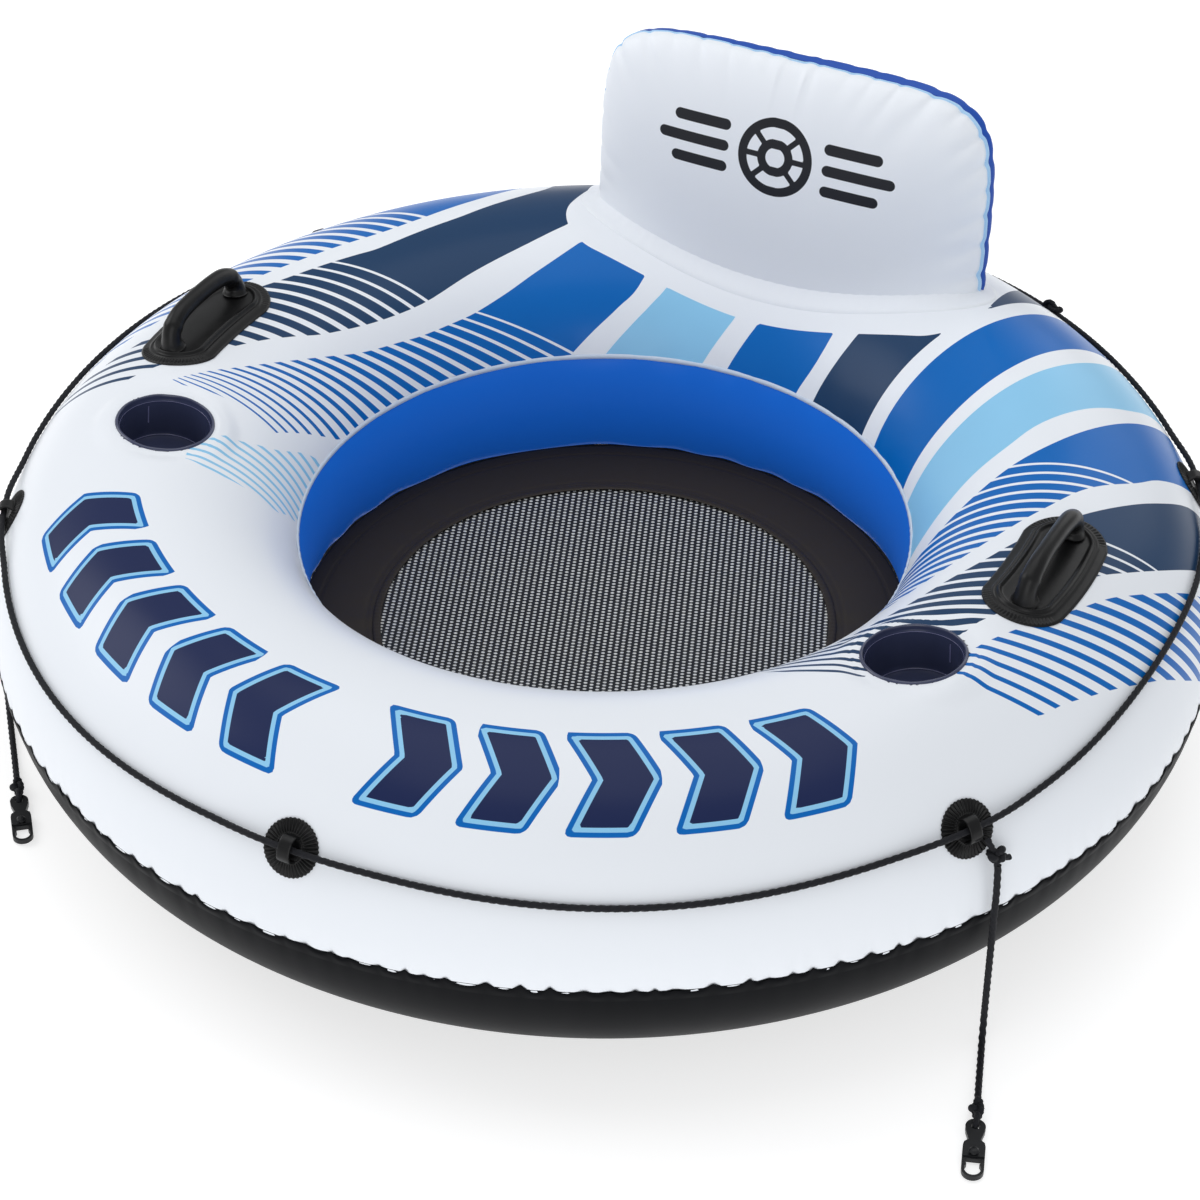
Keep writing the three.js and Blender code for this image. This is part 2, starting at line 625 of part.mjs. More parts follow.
function buildTowCords() {
  const routes = { left: TOW_ROUTE_LEFT, right: TOW_ROUTE_RIGHT };
  for (const [side, sign] of SIDES) {
    const route = routes[side];
    const [endX, endY] = route.at(-1);
    const [beforeX, beforeY] = route.at(-4);
    const heading = Math.atan2(endY - beforeY, endX - beforeX);
    const along = (distance, height) => groundFrame(
      endX + distance * Math.cos(heading), endY + distance * Math.sin(heading), height, heading,
    );
    addNode(`tow_cord_${side}`, sweep(curveThrough(route), TOW_CORD_RADIUS, TOW_CORD_RADIUS, 26, 8), ROPE_BLACK);
    addNode(
      `tow_knot_${side}`,
      knot(13, 9.5, 8),
      ROPE_BLACK,
      tubeFrame(sign * TOW_CORD_ANGLE, KNOT_SECTION_ANGLE, 12),
    );
    const clear = 1;
    const knotMiddle = clear + CORD_KNOT_HALF_LENGTH;
    const eyeStart = knotMiddle + CORD_KNOT_HALF_LENGTH + GAP;
    addNode(
      `connector_knot_${side}`,
      knot(CORD_KNOT_HALF_LENGTH, 9, 8.4),
      ROPE_BLACK,
      along(knotMiddle, 9),
    );
    addNode(`connector_eye_${side}`, connectorEye(), MOULDED_BLACK, along(eyeStart, CLIP_AXIS_HEIGHT));
    addNode(
      `connector_hook_${side}`,
      connectorHook(),
      MOULDED_BLACK,
      along(eyeStart + EYE_LENGTH - 0.5, CLIP_AXIS_HEIGHT),
    );
  }
}

// ---------------------------------------------------------------- valves

// A valve stem with its flange, standing on a skin at Z = 0, and the lug its plug is hinged on.
function valveBody(bore, stemRadius, flangeRadius, depth, rise, hingeReach) {
  const stem = revolve([
    [bore, -depth], [stemRadius, -depth], [stemRadius, 0.9], [flangeRadius, 0.9],
    [flangeRadius, 3.2], [stemRadius, 3.2], [stemRadius, rise], [bore, rise],
  ], 20);
  const lugHeight = rise - GAP - 2;
  const lug = new THREE.BoxGeometry(3.5, 6, lugHeight)
    .translate(hingeReach - 1.3, 0, 2 + lugHeight / 2);
  return join(stem, lug);
}

// The plug: a tapered peg, its cap, and the strap that reaches to the hinge on the lug.
function valvePlug(pegTop, pegTip, pegDepth, capRadius, rise, hingeReach) {
  const capBottom = rise + GAP;
  const peg = revolve([
    [0, rise - pegDepth], [pegTip, rise - pegDepth], [pegTop, rise], [pegTop, capBottom],
    [capRadius, capBottom], [capRadius, capBottom + 2], [0, capBottom + 2.4],
  ], 20);
  const strapLength = hingeReach - capRadius + 2;
  const strap = new THREE.BoxGeometry(strapLength, 5, 1.5)
    .translate(hingeReach - strapLength / 2, 0, capBottom + 0.75);
  return join(peg, strap);
}

const MAIN_VALVE = { rise: 8, hingeReach: 24, depth: 18 };
const BACKREST_VALVE = { rise: 8, hingeReach: 18, depth: 14 };

function buildValves() {
  const main = MAIN_VALVE;
  addNode(
    'main_valve_body',
    valveBody(MAIN_VALVE_BORE, 14, 28, main.depth, main.rise, main.hingeReach),
    CLEAR_VINYL,
    MAIN_VALVE_FRAME,
  );
  addNode(
    'main_valve_plug',
    valvePlug(10, 8, main.rise, 15, main.rise, main.hingeReach),
    CLEAR_VINYL,
    MAIN_VALVE_FRAME,
  );
  const flapTop = -main.depth - 0.5;
  addNode(
    'main_valve_flap',
    revolve([[0, flapTop - 1.2], [13, flapTop - 1.2], [13, flapTop], [0, flapTop]], 20),
    CLEAR_VINYL,
    MAIN_VALVE_FRAME,
  );

  const small = BACKREST_VALVE;
  addNode(
    'backrest_valve_body',
    valveBody(BACKREST_VALVE_BORE, 7, 21, small.depth, small.rise, small.hingeReach),
    CLEAR_VINYL,
    BACKREST_VALVE_FRAME,
  );
  addNode(
    'backrest_valve_plug',
    valvePlug(4, 2.8, small.rise, 8, small.rise, small.hingeReach),
    CLEAR_VINYL,
    BACKREST_VALVE_FRAME,
  );
}

buildRing();
buildFloor();
buildBackrest();
buildCupHolders();
buildHandles();
buildRopePatches();
buildGrabRope();
buildTowCords();
buildValves();

export default towableTube;
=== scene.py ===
# %% [markdown]
# # A towable river tube
#
# The object is an inflatable ring that a rider sits in: a white, printed top, a blue inner wall,
# a black underside, a mesh floor, an inflated backrest, two cup holders, two handles, a grab rope
# held in six moulded patches, and two short tow cords with plastic connectors.
#
# The solid model was made first, and this file dresses it. Nothing is placed by eye: every piece
# starts from the same few sizes as the solid model, so it lands where its solid is.

# %% Load the fixed frame
import bpy
import numpy as np
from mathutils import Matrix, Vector


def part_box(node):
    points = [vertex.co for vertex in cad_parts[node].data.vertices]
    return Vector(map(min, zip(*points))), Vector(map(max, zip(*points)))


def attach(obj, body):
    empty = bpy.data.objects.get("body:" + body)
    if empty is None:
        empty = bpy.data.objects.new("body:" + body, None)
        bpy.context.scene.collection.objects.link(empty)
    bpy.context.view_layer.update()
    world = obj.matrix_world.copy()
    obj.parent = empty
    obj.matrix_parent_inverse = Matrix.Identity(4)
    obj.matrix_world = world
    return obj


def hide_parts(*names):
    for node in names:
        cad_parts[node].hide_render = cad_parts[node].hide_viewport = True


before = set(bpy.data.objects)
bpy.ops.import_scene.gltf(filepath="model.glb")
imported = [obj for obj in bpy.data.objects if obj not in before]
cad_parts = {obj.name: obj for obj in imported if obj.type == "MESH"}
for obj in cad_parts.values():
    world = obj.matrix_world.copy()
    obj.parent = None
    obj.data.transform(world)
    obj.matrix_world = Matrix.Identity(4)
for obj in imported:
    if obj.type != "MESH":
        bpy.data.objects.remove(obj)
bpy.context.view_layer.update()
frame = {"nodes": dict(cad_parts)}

# %% [markdown]
# ## Camera
#
# A camera needs a place, a point to look at and a lens. A long lens of about 97 mm keeps the ring
# from looking stretched. Turning the camera with `to_track_quat` is safer than typing three angles,
# because it only needs the direction that the camera looks in.

# %% Camera
CAMERA_PLACE = Vector((1.3283, -2.5576, 2.2981))
CAMERA_AIM = Vector((0.0066, -0.0235, 0.1355))

camera = bpy.data.objects.new("camera", bpy.data.cameras.new("camera"))
camera.data.sensor_width = 36
camera.data.lens = 96.59
camera.location = CAMERA_PLACE
camera.rotation_mode = "QUATERNION"
camera.rotation_quaternion = (CAMERA_AIM - CAMERA_PLACE).to_track_quat("-Z", "Y")
bpy.context.scene.collection.objects.link(camera)
bpy.context.scene.camera = camera
bpy.context.scene.view_settings.view_transform = "Standard"
print("camera at", tuple(round(v, 2) for v in CAMERA_PLACE))

# %% [markdown]
# ## The ring's surface
#
# An inflated ring is a torus, a circle carried round a circle. Blender has a torus, but the pieces
# on this one have to lie on its skin, so a formula is more use than a ready mesh: it turns two
# angles and a height above the skin into a point. Whole arrays of angles go in at once, and numpy
# works out all the points together.

# %% The tube's formula
RING_RADIUS = 0.5            # metres, from the ring's axis to the middle of the tube
TUBE_HALF_WIDTH = 0.1725
TUBE_HALF_HEIGHT = 0.1695
TUBE_CENTRE_HEIGHT = 0.168
OUTER_SEAM, INNER_SEAM, FLOOR_SEAM = -3.0, 160.5, 206.5   # degrees round the tube's section
MM = 0.001


def on_tube(ring, section, lift=0.0):
    """Points on the tube, for angles in degrees. ring is counted from the front towards +X and
    section from the outer side over the top. With c and s the cosine and sine of section, the
    skin's point is (R + w c) from the axis and (z + h s) high, and lift moves it along the normal,
    which points along (c / w, s / h)."""
    ring, section, lift = np.broadcast_arrays(*(np.asarray(v, float) for v in (ring, section, lift)))
    turn, angle = np.radians(ring), np.radians(section)
    out, up = np.cos(angle) / TUBE_HALF_WIDTH, np.sin(angle) / TUBE_HALF_HEIGHT
    size = np.hypot(out, up)
    radius = RING_RADIUS + TUBE_HALF_WIDTH * np.cos(angle) + lift * out / size
    height = TUBE_CENTRE_HEIGHT + TUBE_HALF_HEIGHT * np.sin(angle) + lift * up / size
    return np.stack([radius * np.sin(turn), -radius * np.cos(turn), np.maximum(height, 0)], -1)


def tube_frame(ring, section, lift=0.0):
    """(origin, axes) of a frame on the tube: its rows are along the ring, round the section and
    out along the normal. The directions come from points a hair's breadth apart."""
    hair = 1e-3
    origin = on_tube(ring, section, lift)
    normal = on_tube(ring, section, lift + hair) - origin
    along = on_tube(ring + hair, section, lift) - origin
    normal, along = normal / np.linalg.norm(normal), along / np.linalg.norm(along)
    return origin, np.array([along, np.cross(normal, along), normal])


def in_frame(points, place):
    """Local points moved into the row frame: origin + x * first axis + y * second + z * third."""
    origin, axes = place
    return np.asarray(points, float) @ axes + origin


def to_frame(points, place):
    """The reverse of in_frame: how far each point is along each axis of the frame."""
    origin, axes = place
    return (np.asarray(points, float) - origin) @ axes.T


top = on_tube(0, 90)
print("crown of the ring is", round(float(top[2]), 4), "m high")

# %% [markdown]
# ## From arrays to meshes
#
# A mesh is a list of points and a list of faces that name their corners. On a grid of points every
# face is a square between neighbours, so the corners are worked out by slicing an array of point
# numbers. `foreach_set` then copies everything into Blender in one go, which is many times faster
# than adding the faces one by one.

# %% Mesh helpers
def grid_faces(rows, columns, wrap_rows=False, wrap_columns=False, start=0):
    """Squares between neighbouring points of a grid whose numbers begin at start. They face along
    (row direction) x (column direction). Wrapping joins the last row or column to the first."""
    number = np.arange(rows * columns).reshape(rows, columns) + start
    if wrap_rows:
        number = np.vstack([number, number[:1]])
    if wrap_columns:
        number = np.hstack([number, number[:, :1]])
    corners = [number[:-1, :-1], number[1:, :-1], number[1:, 1:], number[:-1, 1:]]
    return np.stack(corners, -1).reshape(-1, 4)


def make_mesh(name, points, *face_sets, values=None, uv=None, sharp=None):
    """A mesh object from points and arrays of faces. values are numbers stored on the points, uv
    is a pair of numbers for each point, and edges that turn by more than sharp degrees stay crisp."""
    points = np.asarray(points, float).reshape(-1, 3)
    corners = np.concatenate([faces.ravel() for faces in face_sets])
    sizes = np.concatenate([np.full(len(faces), faces.shape[1]) for faces in face_sets])
    mesh = bpy.data.meshes.new(name)
    mesh.vertices.add(len(points))
    mesh.vertices.foreach_set("co", points.astype(np.float32).ravel())
    mesh.loops.add(len(corners))
    mesh.loops.foreach_set("vertex_index", corners.astype(np.int32))
    mesh.polygons.add(len(sizes))
    mesh.polygons.foreach_set("loop_start", (np.cumsum(sizes) - sizes).astype(np.int32))
    mesh.update(calc_edges=True)
    mesh.shade_smooth()
    if sharp is not None:
        mesh.set_sharp_from_angle(angle=np.radians(sharp))
    for key, numbers in (values or {}).items():
        store = mesh.attributes.new(key, "FLOAT", "POINT")
        store.data.foreach_set("value", np.asarray(numbers, np.float32).ravel())
    if uv is not None:
        layer = mesh.uv_layers.new(name="UVMap")
        layer.data.foreach_set("uv", np.asarray(uv, np.float32).reshape(-1, 2)[corners].ravel())
    made = bpy.data.objects.new(name, mesh)
    bpy.context.scene.collection.objects.link(made)
    return made


def dress(piece, slot, material, *nodes, body="root"):
    """Gives a piece its body, its finish and the solids that it stands for. The slot argument is not used."""
    piece.data.materials.clear()
    piece.data.materials.append(material)
    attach(piece, body)
    if nodes:
        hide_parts(*nodes)
    return piece


def smooth_path(points, count):
    """count points along a Catmull-Rom curve through the given ones. Between two points p1 and p2
    it is the cubic whose slopes there are half of p2 - p0 and half of p3 - p1."""
    points = np.asarray(points, float)
    padded = np.vstack([2 * points[0] - points[1], points, 2 * points[-1] - points[-2]])
    where = np.linspace(0, len(points) - 1, count)
    span = np.minimum(where.astype(int), len(points) - 2)
    t = (where - span)[:, None]
    p0, p1, p2, p3 = (padded[span + i] for i in range(4))
    return 0.5 * (2 * p1 + (p2 - p0) * t + (2 * p0 - 5 * p1 + 4 * p2 - p3) * t**2
                  + (3 * p1 - p0 - 3 * p2 + p3) * t**3)


def lengths_along(path):
    """How far along the path each of its points is."""
    return np.concatenate([[0], np.cumsum(np.linalg.norm(np.diff(path, axis=0), axis=1))])


def even_path(path, count):
    """The same path with its points at equal steps of length."""
    far = lengths_along(path)
    steps = np.linspace(0, far[-1], count)
    return np.stack([np.interp(steps, far, path[:, i]) for i in range(3)], -1)


def side_axes(path, up):
    """Two directions across a path at each of its points: one square to the path and to up, and
    one square to both."""
    ahead = np.gradient(path, axis=0)
    ahead /= np.linalg.norm(ahead, axis=1)[:, None]
    side = np.cross(ahead, up)
    side /= np.linalg.norm(side, axis=1)[:, None]
    return side, np.cross(side, ahead)


def sweep(name, path, up, across, upwards, closed=False, **extra):
    """A closed outline carried along a path. across and upwards hold the outline's two
    coordinates, one row for each point of the path or one row for all. The ends get flat caps."""
    side, above = side_axes(path, up)
    across, upwards = np.broadcast_arrays(np.atleast_2d(across), np.atleast_2d(upwards))
    rows, columns = len(path), across.shape[1]
    points = path[:, None] + side[:, None] * across[..., None] + above[:, None] * upwards[..., None]
    faces = [grid_faces(rows, columns, closed, True)[:, ::-1]]
    if not closed:
        ring = np.arange(columns)[None]
        faces += [ring, (ring + (rows - 1) * columns)[:, ::-1]]
    return make_mesh(name, points, *faces, **extra)


def revolved(name, outline, place, count=96, ripple=None, **extra):
    """A profile of (radius, height) turned about a frame's third axis. It starts and ends on the
    axis, where a fan of triangles closes it. ripple(angle, row) may add to the height."""
    outline = np.asarray(outline, float)
    angle = np.linspace(0, 2 * np.pi, count, endpoint=False)[:, None]
    radius, height = outline[1:-1, 0], outline[1:-1, 1] + np.zeros_like(angle)
    if ripple is not None:
        height = height + ripple(angle, radius)
    local = np.stack([radius * np.cos(angle), radius * np.sin(angle), height], -1)
    columns = len(radius)
    ends = [[0, 0, outline[0, 1]], [0, 0, outline[-1, 1]]]
    points = np.vstack([in_frame(local.reshape(-1, 3), place), in_frame(ends, place)])
    first = np.arange(count) * columns
    after = np.roll(first, -1)
    low, high = count * columns, count * columns + 1
    bottom = np.stack([np.full(count, low), after, first], -1)
    lid = np.stack([np.full(count, high), first + columns - 1, after + columns - 1], -1)
    return make_mesh(name, points, grid_faces(count, columns, True), bottom, lid, **extra)


def ridge(position, centre, width):
    """A smooth bump, 1 at centre, that fades over about width on both sides."""
    return np.exp(-(((position - centre) / width) ** 2))


def step_between(position, low, high):
    """0 below low, 1 above high, and the smooth cubic t * t * (3 - 2 t) between them."""
    t = np.clip((position - low) / (high - low), 0, 1)
    return t * t * (3 - 2 * t)


print("mesh helpers ready")

# %% [markdown]
# ## Tow cords
#
# Two short cords hang from the side patches, run straight down the ring's side and lie on the
# ground, each ending in a plastic connector. A cord has a fixed length, so it is made as one path
# and measured. It is a laid rope of three strands: the outline has three lobes, and turning it as
# it goes along the path gives the twist. The pieces on the cord come later, once their finishes
# are ready; here the cords are only made.

# %% Rope outline and tow cords
TOW_CORD_RADIUS = 0.0036
TOW_ROUTES = {
    "right": [
        (0.5951, -0.3218, 0.2208), (0.5965, -0.3239, 0.2054), (0.5977, -0.3259, 0.1867),
        (0.598, -0.3274, 0.168), (0.598, -0.3274, 0.14), (0.598, -0.3274, 0.11),
        (0.598, -0.3274, 0.08), (0.598, -0.3274, 0.055), (0.598, -0.3274, 0.03),
        (0.5987, -0.3293, 0.0201), (0.6005, -0.3346, 0.0116), (0.6033, -0.3426, 0.006),
        (0.6066, -0.352, 0.004), (0.6147, -0.3752, 0.004), (0.6227, -0.3984, 0.0055),
        (0.6308, -0.4216, 0.009)],
    "left": [
        (-0.5951, -0.3218, 0.2208), (-0.5965, -0.3239, 0.2054), (-0.5977, -0.3259, 0.1867),
        (-0.598, -0.3274, 0.168), (-0.598, -0.3274, 0.14), (-0.598, -0.3274, 0.11),
        (-0.598, -0.3274, 0.08), (-0.598, -0.3274, 0.055), (-0.598, -0.3274, 0.03),
        (-0.5968, -0.3289, 0.0201), (-0.5932, -0.3333, 0.0116), (-0.5878, -0.3398, 0.006),
        (-0.5814, -0.3474, 0.004), (-0.5658, -0.3662, 0.004), (-0.5501, -0.3851, 0.004),
        (-0.5345, -0.4039, 0.004), (-0.5188, -0.4227, 0.004), (-0.5032, -0.4415, 0.0055),
        (-0.4876, -0.4603, 0.009)],
}


def rope_outline(path, radius, lay_length, strands=3, sides=12):
    """The outline of a laid rope at each point of its path. Its radius is r (0.66 + 0.34 |cos|) of
    half the strand count times the angle, so it has one lobe for each strand, and the lobes turn
    once in every lay_length along the path."""
    turn = 2 * np.pi * lengths_along(path)[:, None] / lay_length
    angle = np.linspace(0, 2 * np.pi, sides, endpoint=False)[None]
    size = radius * (0.66 + 0.34 * np.abs(np.cos(strands / 2 * (angle - turn))))
    return size * np.cos(angle), size * np.sin(angle)


tow_cords = {}
for side, route in TOW_ROUTES.items():
    path = even_path(smooth_path(route, 400), 240)
    length = lengths_along(path)[-1]
    outline = rope_outline(path, TOW_CORD_RADIUS * 1.06, 0.027)
    piece = sweep("tow_rope_" + side, path, np.array([0.85, 0.5, 0.15]), *outline)
    tow_cords[side] = (piece, route, path, length)
    print("tow cord", side, "is", round(float(length), 3), "m long")

# %% [markdown]
# ## Writing materials as expressions
#
# A material is a graph of nodes. Wiring each Math node by hand takes four lines, and the formula
# gets lost among them. This small class wraps one socket, and its `+ - * /` each add a Math node,
# so `1 - mask * 0.3` reads as what it is. Any other node comes from one method that takes the
# node's type, its settings and its inputs.

# %% Shader expressions
class Shade:
    """One output of a material's node graph. Arithmetic on it adds Math nodes."""

    def __init__(self, tree, socket):
        self.tree, self.socket = tree, socket

    def math(self, operation, *others, **settings):
        settings["operation"] = operation
        return add_node(self.tree, "ShaderNodeMath", settings, {0: self, **dict(enumerate(others, 1))})

    def __add__(self, other):
        return self.math("ADD", other)

    __radd__ = __add__

    def __mul__(self, other):
        return self.math("MULTIPLY", other)

    __rmul__ = __mul__

    def __sub__(self, other):
        return self.math("SUBTRACT", other)

    def __rsub__(self, other):
        return self.math("MULTIPLY_ADD", -1.0, other)

    def __truediv__(self, other):
        return self.math("DIVIDE", other)

    def __rtruediv__(self, other):
        return add_node(self.tree, "ShaderNodeMath", {"operation": "DIVIDE"}, {0: other, 1: self})

    def clamped(self):
        return self.math("ADD", 0.0, use_clamp=True)


def add_node(tree, kind, settings=None, inputs=None, output=0):
    """Adds a node, sets its settings first and then its inputs, which are values or other
    sockets, and gives one of its outputs back as a Shade."""
    node = tree.nodes.new(kind)
    for key, value in (settings or {}).items():
        if key == "stops":
            ramp = node.color_ramp
            while len(ramp.elements) < len(value):
                ramp.elements.new(0.5)
            for element, (position, colour) in zip(ramp.elements, value):
                element.position, element.color = position, colour
        else:
            setattr(node, key, value)
    for key, value in (inputs or {}).items():
        if isinstance(value, Shade):
            tree.links.new(value.socket, node.inputs[key])
        else:
            node.inputs[key].default_value = value
    return Shade(tree, node.outputs[output])


def linear(red, green, blue):
    """A colour that is given as 0 to 255 screen values, as the linear light a shader works in."""
    share = np.array([red, green, blue]) / 255
    light = np.where(share <= 0.04045, share / 12.92, ((share + 0.055) / 1.055) ** 2.4)
    return (*(float(v) for v in light), 1.0)


class Finish:
    """A material with one Principled shader. Constants are set on the shader's own sockets."""

    def __init__(self, name, **constants):
        self.material = bpy.data.materials.new(name)
        self.material.use_nodes = True
        self.tree = self.material.node_tree
        self.shader = self.tree.nodes["Principled BSDF"]
        for key, value in constants.items():
            self.shader.inputs[key.replace("_", " ")].default_value = value

    def node(self, kind, settings=None, inputs=None, output=0):
        return add_node(self.tree, "ShaderNode" + kind, settings, inputs, output)

    def place(self):
        """Where a point is on the object, in metres."""
        return self.node("TexCoord", output="Object")

    def number(self, name):
        """A number stored on the mesh's points."""
        return self.node("Attribute", {"attribute_name": name}, output="Fac")

    def noise(self, scale, detail=2.0, where=None, roughness=0.5):
        inputs = {"Vector": where or self.place(), "Scale": scale, "Detail": detail, "Roughness": roughness}
        return self.node("TexNoise", inputs=inputs, output="Fac")

    def mix(self, share, first, second, blend="MIX"):
        """A colour between first and second."""
        settings = {"data_type": "RGBA", "blend_type": blend}
        return self.node("Mix", settings, {0: share, 6: first, 7: second}, output=2)

    def tinted(self, colour, scale=3.0, amount=0.06, detail=3.0):
        """A colour that drifts a little lighter and darker over the surface."""
        dark = tuple(v * (1 - amount) for v in colour[:3]) + (1.0,)
        light = tuple(min(1.0, v * (1 + amount)) for v in colour[:3]) + (1.0,)
        return self.mix(self.noise(scale, detail), dark, light)

    def set(self, socket, value):
        self.tree.links.new(value.socket, self.shader.inputs[socket])

    def bump(self, height, distance, strength=1.0, over=None):
        """A Bump node. distance is how tall the height's 0 to 1 stands, in metres."""
        inputs = {"Height": height, "Distance": distance, "Strength": strength}
        if over is not None:
            inputs["Normal"] = over
        return self.node("Bump", inputs=inputs, output="Normal")


print("shader helpers ready")

# %% [markdown]
# ## Vinyl
#
# The ring is welded from calendered PVC sheet about 0.4 mm thick. It is smooth and a little shiny,
# with a faint grain from the rollers, and it shows slow waves where the air stretches it unevenly.
# So each vinyl finish has a colour that drifts a little, a roughness that drifts more, a fine grain
# in its bump and broad shallow waves on top of that.

# %% Vinyl finishes
WHITE = linear(240, 244, 250)
NAVY = linear(30, 62, 98)
ROYAL = linear(0, 104, 188)
LIGHT = linear(146, 206, 242)
WALL_BLUE = linear(26, 102, 202)
REAR_BLUE = linear(40, 84, 176)
BLACK = linear(15, 16, 19)
MOTIF_NAVY = linear(26, 38, 80)


def vinyl(name, colour, roughness=0.34, coat=0.06, drift=0.04, waves=0.0006, colour_node=None, shine=0.16, painted_glow=0.0):
    """Calendered sheet: drifting colour and roughness, roller grain, and slow waves. The last argument
    is an emission strength: painted light that makes a sheet in shade glow, standing in for daylight coming through the
    thin tinted sheet from the bright chamber behind it."""
    finish = Finish(name, Specular_IOR_Level=shine, Coat_Weight=coat, Coat_Roughness=0.2, IOR=1.5,
                    Emission_Color=colour, Emission_Strength=painted_glow)
    base = colour_node(finish) if colour_node else finish.tinted(colour, 2.5, drift)
    finish.set("Base Color", base)
    finish.set("Roughness", finish.noise(14.0, 3.0) * 0.1 + (roughness - 0.05))
    grain = finish.bump(finish.noise(1400.0, 2.0), 0.00002, 0.5)
    finish.set("Normal", finish.bump(finish.noise(9.0, 2.0), waves, 0.35, over=grain))
    return finish.material


# The inner wall's emission is painted light: it brightens the blue wall where it lies in shade inside the ring.
wall_blue = vinyl("inner_wall_vinyl", WALL_BLUE, 0.33, 0.08, painted_glow=0.24)
rear_blue = vinyl("backrest_rear_vinyl", REAR_BLUE, 0.33, 0.08)
underside_black = vinyl("underside_vinyl", BLACK, 0.45, 0.0, 0.12, shine=0.05)
plain_white = vinyl("plain_white_vinyl", WHITE, 0.33)
# The inner seam's grey-blue is painted shade: the weld is white vinyl, darkened here to the shaded tone of its edge.
seam_white = vinyl("inner_seam_vinyl", linear(206, 218, 234), 0.3, 0.1)
print("vinyl finishes:", 5)

# %% [markdown]
# ## The printed pattern
#
# The top panel carries wide coloured bands that sweep over the tube and fade forwards into thin
# stripes. Such a print could be an image, but an image blurs close up and needs a file. Here every
# band is an outline of a few points in the ring's two angles. For each point of the mesh the code
# works out the distance to each outline, negative inside it, and stores that number. The shader
# then only asks whether the number is below zero, which keeps the edges crisp at any distance.
#
# The stripes work the same way: each band stores a number that grows by one from stripe to stripe,
# and how much of each step stays white.

# %% Distances to outlines
def to_millimetres(ring, section, centre_ring):
    """Flat coordinates of points on the skin, in millimetres, near one ring angle. A degree round
    the ring is longer on the outside, where the tube is further from the axis."""
    around = (ring - centre_ring + 180) % 360 - 180
    radius = RING_RADIUS + TUBE_HALF_WIDTH * np.cos(np.radians(section))
    return np.radians(around) * radius / MM, np.radians(section) * 0.171 / MM


def outline_distance(ring, section, outline, far=60.0):
    """Signed distance in millimetres from points to a closed outline given in ring and section
    degrees, negative inside. Each side's distance is that to its nearest point, and a point is
    inside if a ray from it crosses the sides an odd number of times. Beyond far it is just far."""
    outline = np.asarray(outline, float)
    centre = outline[:, 0].mean()
    around = (ring - centre + 180) % 360 - 180 + centre
    margin = 9.0
    near = ((around > outline[:, 0].min() - margin) & (around < outline[:, 0].max() + margin)
            & (section > outline[:, 1].min() - 20) & (section < outline[:, 1].max() + 20))
    distance = np.full(ring.shape, far)
    a, s = around[near], section[near]
    scale_a = np.radians(1) * (RING_RADIUS + TUBE_HALF_WIDTH * np.cos(np.radians(s))) / MM
    scale_s = np.radians(1) * 0.171 / MM
    best, inside = np.full(a.shape, far**2), np.zeros(a.shape, bool)
    for (a0, s0), (a1, s1) in zip(outline, np.roll(outline, -1, axis=0)):
        px, py = (a - a0) * scale_a, (s - s0) * scale_s
        ex, ey = (a1 - a0) * scale_a, (s1 - s0) * scale_s
        t = np.clip((px * ex + py * ey) / (ex * ex + ey * ey + 1e-9), 0, 1)
        best = np.minimum(best, (px - t * ex) ** 2 + (py - t * ey) ** 2)
        if s0 != s1:
            crosses = (s0 > s) != (s1 > s)
            inside ^= crosses & (a < a0 + (a1 - a0) * (s - s0) / (s1 - s0))
    distance[near] = np.where(inside, -1, 1) * np.sqrt(best)
    return distance


def curve(*points):
    """A smooth edge of an outline through a few (ring, section) points."""
    return smooth_path(points, 4 * len(points))


# %% [markdown]
# The bands themselves: an ink, the edges that close the outline, and how its stripes run. Stripes
# are white lines cut out of the ink. `start` and `end` are ring angles at the section angle
# `level`, `lean` says how far a line moves round the ring for each degree of section, and `white`
# is the white share of each step, at both ends. `ease` below 1 makes the first steps wider.

